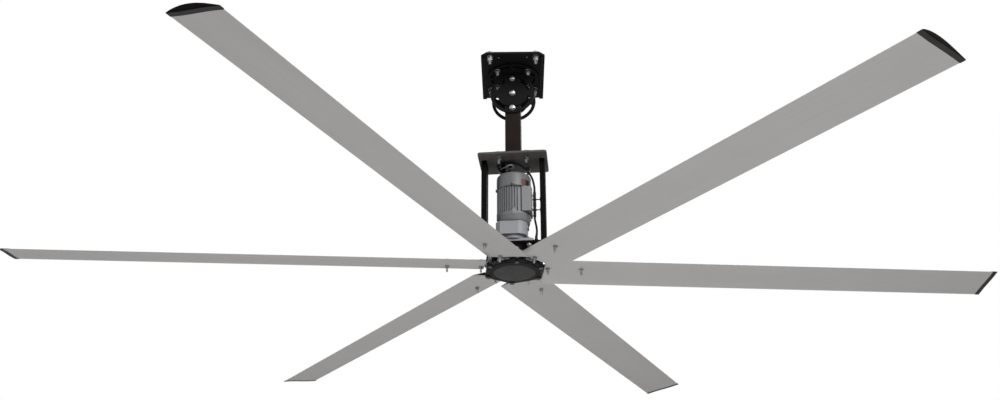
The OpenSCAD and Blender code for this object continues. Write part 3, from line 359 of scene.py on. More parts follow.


# %% [markdown]
# ### The fan's finishes
#
# Black powder coat covers the mount and the frame. The down tube is a browner black. The frame's top
# plate is black steel as well; its colour is lifted to a dark grey as painted sheen, for the light on
# its shaded underside. The motor and its gearbox are grey castings, the fasteners are zinc plated and
# the shackle is galvanised.

# %% Painted and bare metal
black_paint = paint("black_powder_coat", (0.004, 0.0037, 0.0037), (0.008, 0.0075, 0.0075),
                    (0.04, 0.038, 0.037), (0.48, 0.6), 0.08)
frame_paint = paint("frame_powder_coat", (0.0025, 0.0023, 0.0023), (0.005, 0.0045, 0.0045),
                    (0.022, 0.02, 0.019), (0.55, 0.68), 0.03)
# Painted sheen: the top plate is black steel, and its colour is lifted to a dark grey to stand in for the
# light and reflection on its shaded underside.
frame_top_painted_sheen_coat = paint("frame_top_painted_sheen", (0.088, 0.084, 0.082), (0.12, 0.115, 0.111), (0.17, 0.162, 0.155),
                    specular=0.12)
tube_paint = paint("brown_black_paint", (0.012, 0.0075, 0.006), (0.019, 0.0125, 0.0105),
                   (0.06, 0.048, 0.04), (0.45, 0.6), 0.08)
casting_paint = paint("gearbox_paint", (0.355, 0.36, 0.377), (0.395, 0.4, 0.417), (0.56, 0.57, 0.58),
                      (0.38, 0.5), 0.35, grain=500, depth=0.00025)
motor_paint = paint("motor_paint", (0.21, 0.215, 0.225), (0.25, 0.255, 0.265), (0.46, 0.47, 0.48),
                    (0.38, 0.5), 0.35, grain=600, depth=0.0002)
cowl_paint = paint("cowl_paint", (0.15, 0.152, 0.156), (0.178, 0.181, 0.185), (0.33, 0.34, 0.34),
                   (0.34, 0.44), 0.35, depth=0.00006)
box_paint = paint("terminal_box_paint", (0.215, 0.219, 0.227), (0.252, 0.257, 0.268), (0.42, 0.43, 0.44),
                  (0.38, 0.5), 0.4, 0.1, 600, 0.0002)
zinc = bare("zinc_plate", (0.3, 0.3, 0.29), (0.46, 0.465, 0.47), (0.22, 0.42))
dull_zinc = bare("dull_zinc", (0.09, 0.088, 0.085), (0.16,) * 3, (0.35, 0.55))
nut_zinc = bare("nut_zinc", (0.3, 0.3, 0.295), (0.46, 0.46, 0.465))
steel = bare("turned_steel", (0.48, 0.49, 0.5), (0.6, 0.61, 0.62), (0.2, 0.32), 300, (1, 1, 12))
core = bare("laminated_core", (0.16, 0.17, 0.18), (0.24, 0.25, 0.26), (0.4, 0.6), 120, (0.2, 0.2, 14))
# Painted reflection: the hub plate's very dark base is partly its own dark tone and partly stands in for the
# dark surroundings mirrored in its underside.
hub_metal = bare("dark_hub_plate_painted_reflection", (0.024, 0.0245, 0.026), (0.052, 0.053, 0.056), (0.2, 0.34), 260,
                 (1, 9, 1))
galvanised = bare("galvanised_steel", (0.42, 0.44, 0.45), (0.6, 0.62, 0.63), (0.32, 0.5), 500,
                  depth=0.00008, patch=120)
print("metal finishes made:", len(bpy.data.materials))

# %% [markdown]
# ### Blades, cover, copper, label, plastics and rubber
#
# A blade is drawn through a die, so its streaks run along it. The streaks can't use object coordinates,
# because the six blades point six ways, so they read the blade's own UV map, where u runs along the
# blade and v across it. The cover's fine rings come from the distance to the fan's axis.

# %% Blade, cover, copper, label and plastics
def drawn_metal(tree, where):
    """Satin anodised aluminium: streaks along the blade, soft cloudiness, and a fine tooth."""
    streaks = noise(tree, stretched(tree, where, (0.9, 110, 1)), 1.0)
    base = blended(tree, spread(tree, streaks), (0.34, 0.332, 0.326), (0.365, 0.357, 0.35))
    tone = blended(tree, spread(tree, noise(tree, where, 5, 2), 0, 0.5), base, (0.332, 0.324, 0.318))
    return tone, spread(tree, streaks, 0.53, 0.58), noise(tree, where, 160, 1), 0.1, 0.00002


def turned_rings(tree, where):
    """Satin black, turned: fine rings at equal steps of the distance from the axis. Beyond the raised
    face, 78 mm from the axis, the rim is a deeper black, which is painted shade: it stands in for the
    shade and dark reflection on the rim."""
    rings = linked(tree, "ShaderNodeTexWave", {
        "Vector": where, "Scale": 220, "Distortion": 0.4, "Detail": 2.0},
        wave_type="RINGS", rings_direction="Z").outputs["Fac"]
    face = blended(tree, spread(tree, noise(tree, where, 25)), (0.03, 0.0287, 0.0287), (0.043, 0.041, 0.041))
    # Painted shade: the rim beyond 78 mm from the axis is darkened all round.
    rim = spread(tree, off_axis(tree, where), 0, 1, 0.0775, 0.0785)
    tone = blended(tree, rim, face, (0.006, 0.0055, 0.0055))
    tone = blended(tree, combined(tree, "MULTIPLY", worn(tree), 0.35), tone, (0.12,) * 3)
    return tone, spread(tree, noise(tree, where, 60), 0.36, 0.5), rings, 0.3, 0.00004


def wound_wire(tree, where):
    """Varnished copper wire: the strands are lines across the winding's own UV map."""
    strands = linked(tree, "ShaderNodeTexWave", {"Vector": where, "Scale": 9, "Distortion": 1.2},
                     wave_type="BANDS", bands_direction="Y").outputs["Fac"]
    tone = blended(tree, strands, (0.2, 0.07, 0.03), (0.5, 0.2, 0.09))
    return tone, spread(tree, noise(tree, where, 12), 0.25, 0.4), strands, 0.5, 0.0003


def two_tone(tree, where):
    """A blank plate in brown-red, and black where u is over 0.45."""
    u = linked(tree, "ShaderNodeSeparateXYZ", {"Vector": where}).outputs["X"]
    tone = blended(tree, noise(tree, where, 9), (0.13, 0.036, 0.022), (0.17, 0.055, 0.035))
    tone = blended(tree, combined(tree, "GREATER_THAN", u, 0.45), tone, (0.02, 0.018, 0.018))
    return tone, spread(tree, noise(tree, where, 6), 0.3, 0.42), noise(tree, where, 60), 0.2, 0.00003


def moulded(tree, where):
    """Moulded black plastic, grey on the cap's sides, where its UV map has u under 0, and deep black on
    its end face."""
    patches = spread(tree, noise(tree, where, 40))
    sides = blended(tree, patches, (0.03, 0.0285, 0.028), (0.043, 0.041, 0.04))
    face = blended(tree, patches, (0.0025, 0.0022, 0.0022), (0.005, 0.0045, 0.0045))
    uv = linked(tree, "ShaderNodeTexCoord").outputs["UV"]
    u = linked(tree, "ShaderNodeSeparateXYZ", {"Vector": uv}).outputs["X"]
    tone = blended(tree, combined(tree, "GREATER_THAN", u, 0), sides, face)
    tone = blended(tree, combined(tree, "MULTIPLY", worn(tree), 0.2), tone, (0.05, 0.048, 0.047))
    return tone, spread(tree, noise(tree, where, 160), 0.5, 0.62), noise(tree, where, 1400, 4), 0.35, 0.00008


anodised = material("anodised_blade", drawn_metal, 0.18, 0.2, "UV")
turned_black = material("turned_cover_painted_rim_shade", turned_rings, specular=0.15)
copper = material("varnished_copper", wound_wire, 0.85, coordinates="UV")
blank_plate = material("blank_plate", two_tone, 0.1, coordinates="UV")
cap_plastic = material("cap_plastic", moulded, specular=0.03)
plastic = paint("connector_plastic", (0.009, 0.009, 0.01), (0.015, 0.015, 0.016), (0.05, 0.05, 0.052),
                (0.4, 0.52), 0.15, 0.0, 1600, 0.00005, 60, 0.3)
sheath = paint("cable_sheath", (0.008,) * 3, (0.013, 0.013, 0.0135), (0.03,) * 3, (0.45, 0.6), 0.1, 0.0,
               1100, 0.00006, 50, 0.2)
rubber = paint("seal_rubber", (0.012,) * 3, (0.018,) * 3, (0.03,) * 3, (0.6, 0.75), 0.3, 0.0, 900,
               0.00008, 50, 0.2)
print("finishes made:", len(bpy.data.materials))

# %% [markdown]
# ## The motor cable
#
# The cable comes down the tube, leaves a gland under the frame's top plate, loops round the safety
# shackle and runs down into an in-line connector tied to the right leg. A second length goes on to the
# bottom plate. Its length is fixed, so it is made first: a smooth curve through the same points as the
# CAD's, with a round section swept along it. A cubic through four points at a time gives the curve. On
# the lower route, a is the share of the way across to the gland, b of the bow and c of the height.

# %% Cable route and cords
CABLE_R, CONNECTOR, CONNECTOR_LOW, GLAND_UP, GLAND_LOW = 4, (80, -14), LEG_TOP - 240, (-14, 16), (84, -14)
UPPER_ROUTE = [
    (-14, 16, 12), (-14, 16, 0), (-14, 16, -8), (-14, 16, -13), (-18, 20, -20), (-28, 28, -24),
    (-41, 32, -22), (-53, 28, -17), (-60, 17, -12.5), (-62, 4, -10.5), (-59, -9, -10), (-48, -21, -10),
    (-31, -26, -10), (-14, -29, -11), (2, -31, -13), (18, -31, -19), (31, -30, -27), (43, -28, -37),
    (54, -25, -48), (64, -22, -62), (72, -19, -78), (77, -16, -96), (80, -14, -116), (80, -14, -132)]
LOWER_RUN = CONNECTOR_LOW - LEG_LOW - 12
LOWER_ROUTE = [(80 + 4 * a + 3.5 * b, -14, 12 + c * LOWER_RUN) for a, b, c in (
    (0, 0, 1), (0, 0, 0.9), (0.2, 0.6, 0.72), (0.5, 1, 0.54), (0.8, 1, 0.36), (1, 0.4, 0.2), (1, 0, 0.1),
    (1, 0, 0))] + [(84, -14, 0), (84, -14, -12)]


def smooth_path(route, z, steps=6):
    """The curve (2b + (c-a)t + (2a-5b+4c-d)t2 + (3b-a-3c+d)t3) / 2 between b and c, for each four
    neighbours a, b, c, d of the route, lifted to z and turned to the fan's heading."""
    r = np.asarray(route, float)
    p = np.vstack([r[:1], r, r[-1:]])
    a, b, c, d = (p[i:len(p) - 3 + i, None] for i in range(4))
    t = (np.arange(steps) / steps)[None, :, None]
    square, cube = (2 * a - 5 * b + 4 * c - d) * t ** 2, (3 * b - a - 3 * c + d) * t ** 3
    curve = 0.5 * (2 * b + (c - a) * t + square + cube)
    return moved(np.vstack([curve.reshape(-1, 3), r[-1:]]), HEADED @ shift(0, 0, z))


def unit(v):
    """Each vector divided by its length."""
    return v / np.linalg.norm(v, axis=1)[:, None]


def tube(path, radius, sides=16):
    """A round section swept along a path: side and lift are square to the path's direction, and each
    end shrinks to a point to close it."""
    along = unit(np.gradient(path, axis=0))
    side = unit(np.cross(along, np.array([0.31, 0.27, 0.91])))
    ends = np.repeat(path[[0, -1], None], sides, 1)
    rings = ringed(path, side, np.cross(along, side), radius, sides)
    return skin(np.concatenate([ends[:1], rings, ends[1:]]))


def cable_length(path):
    """The sum of the distances from point to point."""
    return float(np.linalg.norm(np.diff(path, axis=0), axis=1).sum())


upper_path, lower_path = smooth_path(UPPER_ROUTE, LEG_TOP), smooth_path(LOWER_ROUTE, LEG_LOW)
upper_cable, lower_cable = (
    piece(name, [tube(path, CABLE_R)], sheath, ["motor_cable"])
    for name, path in (("cable_from_tube", upper_path), ("cable_to_foot", lower_path)))
print("cable lengths:", round(cable_length(upper_path)), "and", round(cable_length(lower_path)), "mm")

# %% [markdown]
# The connector is two ribbed shells screwed together, with a tapered boot at each end. The cable tie's
# band goes round it, and its strap reaches a pad on the leg. A gland is a turned body with a domed nut,
# and a short tapered sleeve keeps the cable from kinking.

# %% Connector, ties and glands
def connector_profile(length, r):
    """Radius along the connector: boots that swell from the cable, a grip of rings and a centre nut."""
    z = np.linspace(0, 1, 109)
    from_middle = np.abs(z - 0.5)
    grip = (np.cos(z * 2 * np.pi * 22) > 0.2) & (from_middle > 0.1) & (from_middle < 0.36)
    boot = 4.6 + (r - 4.6) * np.clip(np.minimum(z, 1 - z) / 0.13, 0, 1) ** 0.7
    waist = r * (0.88 + 0.12 * (from_middle < 0.08))
    radius = np.minimum(np.minimum(r - 0.5 * grip, boot), waist)
    return np.stack([np.pad(radius, 1), np.pad(z, 1, "edge") * length], -1)


connector = piece("inline_connector", [placed(turned(connector_profile(108, 6.5), 32), HEADED @ shift(
    *CONNECTOR, CONNECTOR_LOW))], plastic, ["cable_connector"])


def boxed(x0, x1, y0, y1, z0, z1, r=0.6):
    """A block with its long edges rounded: a square ring with cut corners, carried from z0 to z1."""
    ring = np.array([(x0 + r, y0), (x1 - r, y0), (x1, y0 + r), (x1, y1 - r), (x1 - r, y1), (x0 + r, y1),
                     (x0, y1 - r), (x0, y0 + r)])
    middle = np.array([[(x0 + x1) / 2, (y0 + y1) / 2]] * 8)
    small = middle + (ring - middle) * (1 - r / max(x1 - x0, y1 - y0))
    return layers([(middle, z0), (small, z0), (ring, z0 + r), (ring, z1 - r), (small, z1), (middle, z1)])


def ring_profile(inner, outer, z0, z1, r=0.4):
    """A ring's closed section with small rounds on its four edges."""
    return [(inner + r, z0), (outer - r, z0), (outer, z0 + r), (outer, z1 - r), (outer - r, z1),
            (inner + r, z1), (inner, z1 - r), (inner, z0 + r), (inner + r, z0)]


def repeated(shapes, places):
    """The same shapes at each of several 4x4 places."""
    return [placed(s, m) for m in places for s in shapes]


tie = [turned(ring_profile(6.6, 8.3, 0, 4), 32), boxed(7.5, 22, -1.5, 1.5, 0.4, 3.6),
       boxed(20, 22, -8, 8, -4, 8), boxed(-2.6, 2.6, -10.2, -7.4, -0.6, 4.6)]
piece("tie_bands", repeated(tie, [HEADED @ shift(*CONNECTOR, LEG_TOP - drop) for drop in (168, 211)]),
      plastic, ["cable_ties"])

gland_up = [(5.9, 12), (4.1, 12), (4.1, -8), (5.2, -8), (7.4, -6.8), (8, -5.2), (8, -0.1), (5.9, 0),
            (5.9, 12)]
gland_low = [(5.9, -12), (4.1, -12), (4.1, 12), (5.2, 12), (7.4, 10.6), (8, 8.6), (8, 0.1), (5.9, 0),
             (5.9, -12)]


FACE_SHARE, OVERLAP = 0.47, 0.05


def hexed(flats, z0, z1, bore, sides=24):
    """A hexagonal nut round a bore: r(a) = (flats/2) / cos(a folded to +-30 degrees). Outside a circle
    of FACE_SHARE of its width, its corners are cut back at 30 degrees on both faces."""
    a = circle(sides)
    out = flats / 2 / np.cos((a + np.pi / 6) % (np.pi / 3) - np.pi / 6)
    inner = flats * FACE_SHARE
    cut = (out - inner) * math.tan(math.radians(30))
    return skin(np.stack([polar(r, a, z) for r, z in (
        (bore, z0), (inner, z0), (out, z0 + cut), (out, z1 - cut), (inner, z1), (bore, z1), (bore, z0))]))


at_up, at_low = HEADED @ shift(*GLAND_UP, LEG_TOP), HEADED @ shift(*GLAND_LOW, LEG_LOW)
sleeves = [tube(upper_path[12:27], np.linspace(5.4, 4.4, 15)),
           tube(lower_path[-28:-12], np.linspace(4.4, 5.6, 16))]
piece("glands", repeated([turned(gland_up, 32), hexed(15, 8, 12, 5.9)], [at_up]) + sleeves + repeated(
    [turned(gland_low, 32), hexed(15, -12, -8, 5.9)], [at_low]),
    plastic, ["cable_glands"])

# %% [markdown]
# ## Fasteners
#
# The bolts are what a person notices up close, so they have real heads and threads. A head is a
# hexagon whose corners a cone cuts back. A thread is a grid of rings whose radius follows a sawtooth
# that climbs with the angle: r = d/2 - depth * tooth(z / pitch - a / 2 pi).

# %% Bolts, nuts and washers
def thread(size, z0, z1, sides=14, steps=4):
    """Threaded rod from z0 up to z1, cut 0.55 of its pitch deep, with a cone at its lower end."""
    d, pitch = size[0], size[3]
    rings = max(2, int(round((z1 - z0) / pitch * steps)))
    z, a = np.linspace(z0, z1, rings + 1)[:, None], circle(sides)
    tooth = np.abs(((z / pitch - a / (2 * np.pi)) % 1) * 2 - 1)
    r = np.minimum(d / 2 - 0.55 * pitch * tooth, d / 2 - 0.9 + np.clip(z - z0, 0, 0.9))
    return skin(np.concatenate([np.tile([0, 0, z0], (1, sides, 1)), polar(r, a, z),
                                np.tile([0, 0, z1], (1, sides, 1))]))


def rod(r, z0, z1, sides=20):
    """A plain round bar."""
    return turned([(0, z0), (r, z0), (r, z1), (0, z1)], sides)


def hex_bolt(size, shank, threaded):
    """A head standing on z = 0, a plain shank that overlaps the thread, and the thread."""
    return [hexed(size[1], 0.4, size[2], 0.01), rod(size[1] * FACE_SHARE, 0, 0.6, 24),
            rod(size[0] / 2, threaded - shank - OVERLAP, 0.2), thread(size, -shank, threaded - shank)]


def flat_bolt(size, shank, threaded):
    """A countersunk screw, flush at z = 0."""
    h = size[0] / 2
    head = turned([(0, -h), (h, -h), (size[0], -0.2), (size[0], 0), (2.5, 0), (2.5, -1.5), (0, -1.5)], 28)
    return [head, rod(h, threaded - shank - OVERLAP, 0.1 - h), thread(size, -shank, threaded - shank)]


def nut(size, z0, height):
    """A nut that stands on z0."""
    return hexed(size[1], z0, z0 + height, size[0] / 2 + 0.1)


def washer(size, z0, height, outer=None):
    """A washer that lies on z0, twice as wide as its bolt if no radius is given."""
    return turned(ring_profile(size[0] / 2 + 0.1, outer or size[0], z0, z0 + height, 0.35), 28)


def corners(dx, dy):
    """The corners of a rectangle round the middle."""
    return [(sx * dx / 2, sy * dy / 2) for sx in (-1, 1) for sy in (-1, 1)]


def raised(shapes, z, turned_over=False):
    """Shapes moved to a height, upside down if turned_over is true."""
    return repeated(shapes, [shift(0, 0, z) @ turn(0, 180 if turned_over else 0)])


def fasten(node, shapes, places, metal=zinc, body="hanging_frame", ending="_threaded"):
    """Fasteners at their places as one piece, named after the CAD node that they replace."""
    piece(node + ending, repeated(shapes, places), metal, [node], body=body)


# %% Bolts of the ceiling mount and the hanging frame
ANCHOR_X, ANCHOR_Y, SWIVEL_R, LOCK_STEP, CASE_R = 89, (-150, 95), 84, 67, 37
FLANGE_BOLTS, LEG_SCREWS, MOUNT_BOLTS = corners(105, 105), corners(224, 44), corners(116, 50)

anchor = [washer(M12, 0, 5, 13.8)] + raised(hex_bolt(M12, 48, 38), 5) + [
    washer(M12, -10.5, 2.5), nut(M12, -20.5, 10), nut(M12, -28.5, 7.8)]
fasten("anchor_bolts", anchor, [shift(x, y, 0) for x in (-ANCHOR_X, ANCHOR_X) for y in ANCHOR_Y],
       body="ceiling_mount")
swivel = flat_bolt(M12, 40, 30) + [washer(M12, -19.1, 2.5), nut(M12, -29.1, 10)]
fasten("swivel_bolts", swivel, [turn(2, a) @ shift(SWIVEL_R, 0, 0) for a in (45, 135, 225, 315)],
       body="ceiling_mount")
tilt = [washer(M12, 36.6, 2.5)] + raised(hex_bolt(M12, 91.2, 22), 39.1) + [
    washer(M12, -39.1, 2.5), nut(M12, -49.1, 10)]
fasten("tilt_bolts", tilt, [HEADED @ shift(0, 0, PIVOT_Z + n * LOCK_STEP) @ turn(0, 90) for n in (-1, 0, 1)])
foot = [washer(M12, TUBE_LOW, 2.5)] + raised(hex_bolt(M12, 44.5, 28), TUBE_LOW + 2.5) + [
    washer(M12, LEG_TOP - 2.5, 2.5), nut(M12, LEG_TOP - 12.5, 10)]
fasten("flange_bolts", foot, [HEADED @ shift(x, y, 0) for x, y in FLANGE_BOLTS])
leg = raised(hex_bolt(M8, 26, 20), FRAME_TOP) + raised(hex_bolt(M8, 26, 20), FRAME_LOW, True)
fasten("leg_screws", leg, [HEADED @ shift(x, y, 0) for x, y in LEG_SCREWS])
mount = repeated(raised(hex_bolt(M10, 30, 20), MOUNT_TOP) + [nut(M10, FRAME_LOW - 8, 8)],
                 [shift(x, y, 0) for x, y in MOUNT_BOLTS])
case = repeated(raised(flat_bolt(M6, 20, 14), LEG_LOW, True),
                [turn(2, a) @ shift(CASE_R, 0, 0) for a in (30, 150, 210, 330)])
fasten("gearbox_bolts", mount + case, [HEADED], nut_zinc)

# %% Screws of the cowl, the lid and the gearbox, and the bolts of the hub and the blades
COWL_R, LID_X, LID_Y, LID_EDGE, PLUG, HUB_R, SPAR_R, BLADE_R = (
    66, 70, (-47, 17), 12, (52, -10, -688), 108, (71, 92), (125, 250))
cowl = repeated(hex_bolt(M6, 10, 7), [
    turn(2, a) @ shift(COWL_R, 0, BODY_TOP + 6) @ turn(1, 90) for a in (0, 90, 180, 270)])
lid_screw = [turned([(0, 0), (4, 0), (4, 1.2), (3.2, 2), (1.2, 2), (1.2, 1), (0, 1)], 24), rod(2, -10, 0.1)]
lid = repeated(lid_screw, [
    shift(LID_X, y, z) @ turn(1, 90) for y in LID_Y for z in (BODY_LOW + LID_EDGE, BODY_TOP - LID_EDGE)])
fasten("cowl_screws", cowl + lid, [HEADED], dull_zinc, ending="_headed")
fasten("oil_plug", hex_bolt(M8, 5, 4), [HEADED @ shift(*PLUG) @ turn(1, 90)], dull_zinc, ending="_hex")

around = [turn(2, ROTOR_REST + 60 * k) for k in range(6)]
corner = raised(hex_bolt(M10, 57, 24), HUB_LOW, True) + [
    turned(ring_profile(5.1, 8.5, BLOCK_LOW, BLOCK_TOP), 24), nut(M10, HUB_TOP, 8)]
block = raised(flat_bolt(M8, 55, 24), HUB_LOW, True) + [nut(M8, HUB_TOP, 6.5)]
hub = repeated(corner, [m @ turn(2, 30) @ shift(HUB_R, 0, 0) for m in around]) + repeated(
    block, [m @ shift(r, SPAR_Y, 0) for m in around for r in SPAR_R])
fasten("hub_bolts", hub, [np.eye(4)], dull_zinc, "fan_rotor")

CHORD, THICK, WALL, EDGE, WAVE = 166, 17.5, 1.8, 1.2, 1.0
SPAR_S = (SPAR_Y - BLADE_Y) / math.cos(math.radians(PITCH))


def skin_up(u):
    """Upper skin: thickness times sin(180 u^0.74), plus the edge's thickness."""
    return THICK * np.sin(np.pi * np.power(u, 0.74)) + EDGE * u


def skin_low(u):
    """Lower skin: one shallow wave, - wave times sin(360 u)."""
    return -WAVE * np.sin(2 * np.pi * u)


spar_u = SPAR_S / CHORD + 0.5
top, low = float(skin_up(spar_u)) + 0.4, float(skin_low(spar_u)) - 0.4
blade_nut = [washer(M8, top, 1.6), washer(M8, low - 1.6, 1.6), nut(M8, low - 9.6, 8)]
holes = [m @ shift(r, SPAR_S, 0) for m in BLADES for r in BLADE_R]
piece("blade_nuts", repeated(blade_nut, holes), nut_zinc, ["blade_bolts"], body="fan_rotor")
fasten("blade_bolts", raised(hex_bolt(M8, top - low + 25.6, 30), top + 1.6), holes, body="fan_rotor")

# %% [markdown]
# ## The blades
#
# A blade is one hollow extrusion: an airfoil outline outside and three cells inside. The outline is
# the CAD's own pair of curves at more points, carried from root to tip. The cells are carried the same
# way, and the two end faces are filled between the outline and the cells. In the UV map, u is the place
# along the blade and v the place across it plus the height, all in metres.

# %% Blades and caps
ROOT, TIP, CAP, RIM = 112, 1811, 18, 17


def airfoil(grow, steps=30):
    """The outline, leading edge to trailing edge below and back above, grown by that much. Points are
    closer together at both edges: u = (1 - cos t) / 2."""
    u = (1 - np.cos(np.linspace(0, np.pi, steps))) / 2
    x = (u - 0.5) * (CHORD + 2 * grow)
    low, top = np.stack([x, skin_low(u) - grow], -1), np.stack([x, skin_up(u) + grow], -1)[::-1]
    return np.vstack([low, top[1:-1] if grow == 0 else top])


def cell(u1, u2, steps=9):
    """One hollow cell between two places along the chord, one wall in from the skin."""
    u = np.linspace(u1, u2, steps)
    x = (u - 0.5) * CHORD
    return np.vstack([np.stack([x, skin_low(u) + WALL], -1), np.stack([x, skin_up(u) - WALL], -1)[::-1]])


def drawn(outline, stations):
    """The outline, as a grid's rows, at each station along the blade."""
    return np.stack([np.column_stack([np.full(len(outline), x), outline]) for x in stations])


web = 2 / CHORD
parts = [skin(drawn(airfoil(0), np.linspace(ROOT, TIP, 24)))] + [
    skin(drawn(cell(*ends), (ROOT, TIP))) for ends in ((0.06, 0.2 - web), (0.2, 0.5), (0.5 + web, 0.84))]
for k, place in enumerate(BLADES, 1):
    blade = piece(f"blade_{k}_extrusion", repeated(parts, [place]), anodised,
                  [f"blade_{k}"], 25, [place @ shift(x, 0, 0) for x in (ROOT, TIP)], "fan_rotor")
    mapped(blade, place, lambda x, y, z: (x * MM, (y + z) * MM))

rounding = ((0, 0.8), (CAP - 2.4, 0.8), (RIM, 0.5), (CAP - 0.2, -0.4), (CAP, -1.6))
rings = np.concatenate([drawn(airfoil(grow), [TIP + x]) for x, grow in rounding])
spine = rings.copy()
spine[:, :, 2] = (rings[:, :, 2] + rings[:, ::-1, 2]) / 2
cap = skin(np.concatenate([spine[:1], rings, spine[-1:]]))


def past_rim(x, y, z):
    """Both u and v are how far the reach along the blade, x cos a + y sin a, goes past the cap's rim."""
    a = np.radians(ROTOR_REST + 60 * np.arange(6))
    reach = (x[:, None] * np.cos(a) + y[:, None] * np.sin(a)).max(1)
    return [reach - (TIP + RIM)] * 2


tips = piece("tip_caps_moulded", repeated([cap], BLADES), cap_plastic, ["tip_caps"],
             body="fan_rotor")
mapped(tips, np.eye(4), past_rim)

# %% [markdown]
# ## Plates, bars and castings
#
# A part whose CAD shape is right only needs what a real edge has: a small round that catches the light.
# A CAD mesh is loose triangles, so a copy is merged, its flats are joined, and a Bevel modifier rounds
# each edge sharper than the angle. Castings get a wider round than plate.

# %% Softened copies of CAD parts
def softened(node, coat, width, angle=32):
    """A copy of a CAD node's mesh, doubles merged and flats joined. Its edges are rounded by width."""
    source = frame["nodes"][node]
    mesh = source.data.copy()
    bm = bmesh.new()
    bm.from_mesh(mesh)
    bmesh.ops.remove_doubles(bm, verts=bm.verts, dist=2e-6)
    bmesh.ops.dissolve_limit(bm, angle_limit=math.radians(0.5), verts=bm.verts, edges=bm.edges)
    bm.to_mesh(mesh)
    bm.free()
    made = shown(node + "_finished", mesh, coat, source["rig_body"], [node], angle)
    if width:
        edges = made.modifiers.new("edges", "BEVEL")
        edges.width, edges.segments, edges.limit_method = width * MM, 2, "ANGLE"
        edges.angle_limit, edges.harden_normals = math.radians(angle), True


for coat, slot, widths in (
        (black_paint, "black_steel", {
            "ceiling_plate": 0.7, "swivel_disc": 0.7, "ear_front": 0.6, "ear_rear": 0.6}),
        (tube_paint, "brown_black_steel", {"down_tube": 1.2}),
        (frame_top_painted_sheen_coat, "black_steel", {"frame_top_plate": 0.8}),
        (frame_paint, "black_steel", {"leg_left": 1.2, "leg_right": 1.2, "frame_bottom_plate": 0.8}),
        (casting_paint, "gearbox_grey", {"gearbox_flange": 0.8, "gear_case": 1.6, "gear_case_cover": 1.2}),
        (box_paint, "gearbox_grey", {"terminal_box": 2.0, "terminal_lid": 1.2}),
        (motor_paint, "motor_grey", {"motor_rear_shield": 0.6}),
        (hub_metal, "hub_metal", {"hub_lower_plate": 0.6}),
        (black_paint, "black_steel", {"hub_upper_plate": 0.6}), (steel, "shaft_steel", {"spars": 0.8}),
        (zinc, "zinc_steel", {"shaft_retainer": 0.4})):
    for node, width in widths.items():
        softened(node, coat, width)

# %% [markdown]
# The parts that turn or hide inside, such as shafts, gears and bearings, keep their CAD mesh and get a
# finish.

# %% Finishes of carried CAD parts
for coat, names in (
        (steel, "motor_shaft layshaft output_shaft output_gear gearbox_bearings motor_bearings"),
        (core, "stator_core rotor_core"), (rubber, "shaft_seal"), (plastic, "cooling_fan")):
    for name in names.split():
        frame["nodes"][name].data.materials.clear()
        frame["nodes"][name].data.materials.append(coat)
print("carried parts finished")

# %% [markdown]
# ## The motor
#
# The body is one extruded casting: a round wall with cooling fins. Its section is a closed line whose
# radius jumps out for each fin and rounds over at its tip. The end shield below it is turned, with four
# lugs for its screws, and the cowl is the CAD's with its doubles merged.

# %% Finned body
def finned_section(inner=56, outer=65, half=1.0, count=40, steps=7):
    """Round wall with fins: each fin's flank rises from the wall and its tip is a half circle. Where the
    terminal box sits there are none."""
    points = []
    for degrees in np.arange(count) * 360 / count:
        a = math.radians(degrees)
        if -64 < (degrees + 180) % 360 - 180 < 34:
            points.append(polar(inner, a + np.radians((-3.7, -1.9, 0, 1.9, 3.7)), 0)[:, :2])
            continue
        t = np.linspace(-np.pi / 2, np.pi / 2, steps)
        tip = np.stack([outer - half + half * np.cos(t), half * 0.86 * np.sin(t)], -1)
        fin = np.vstack([[inner - 0.1, -half - 1.7], [inner + 0.6, -half - 0.1], tip,
                         [inner + 0.6, half + 0.1], [inner - 0.1, half + 1.7]])
        points.append(fin @ np.array([[math.cos(a), math.sin(a)], [-math.sin(a), math.cos(a)]]))
    return np.vstack(points)


CHAMFER, BORE_R = 0.8, 50.25
section = finned_section()
narrow, bore = section * (1 - CHAMFER / 66), BORE_R * unit(section)
body = layers([(narrow, BODY_LOW), (section, BODY_LOW + CHAMFER), (section, BODY_TOP - CHAMFER),
               (narrow, BODY_TOP), (bore, BODY_TOP), (bore, BODY_LOW), (narrow, BODY_LOW)])
piece("motor_body_finned", [placed(body, HEADED)], motor_paint, ["motor_body"])

# %% End shield, cowl and label
shield = turned([(r, z + SHIELD_LOW) for r, z in (
    (12.5, 9), (12.5, 0), (55.4, 0), (56.2, 0.5), (59.6, 3.6), (60.3, 5), (63.4, 22.5), (63.9, 24.6),
    (64.6, 26.2), (65, 27.2), (65, 35.4), (64.4, 36), (50, 36), (50, 21), (20.05, 21), (20.05, 9),
    (12.5, 9))], 96)
LUG_LOW, LUG_TOP = BODY_LOW - 14, BODY_LOW + 9
lug = [boxed(56, 66, -7, 7, LUG_LOW, LUG_TOP, 1.2),
       placed(hexed(10, LUG_TOP, LUG_TOP + 4, 0.01), shift(61, 0, 0))]
lugs = repeated(lug, [turn(2, a) for a in (-85.5, 94.5, 184.5)])
lugs += repeated([boxed(56, 66, -7, 7, LUG_LOW, BODY_LOW, 1.2)], [turn(2, 4.5)])
piece("motor_end_shield_cast", repeated([shield] + lugs, [HEADED]), motor_paint,
      ["motor_end_shield"])
softened("fan_cowl", cowl_paint, 0, 40)

LABEL_ARC, LABEL_Z = (-60, -27), (BODY_TOP + 4, BODY_TOP + 28)


def label_sheet():
    """A curved plate: the angle and the section's (radius, height) make the grid."""
    low, high = LABEL_Z
    r, z = np.array([(66.1, low), (66.7, low), (66.9, low + 0.3), (66.9, high - 0.3), (66.7, high),
                     (66.1, high)]).T
    return skin(polar(r, np.radians(np.linspace(*LABEL_ARC, 14))[:, None], z))


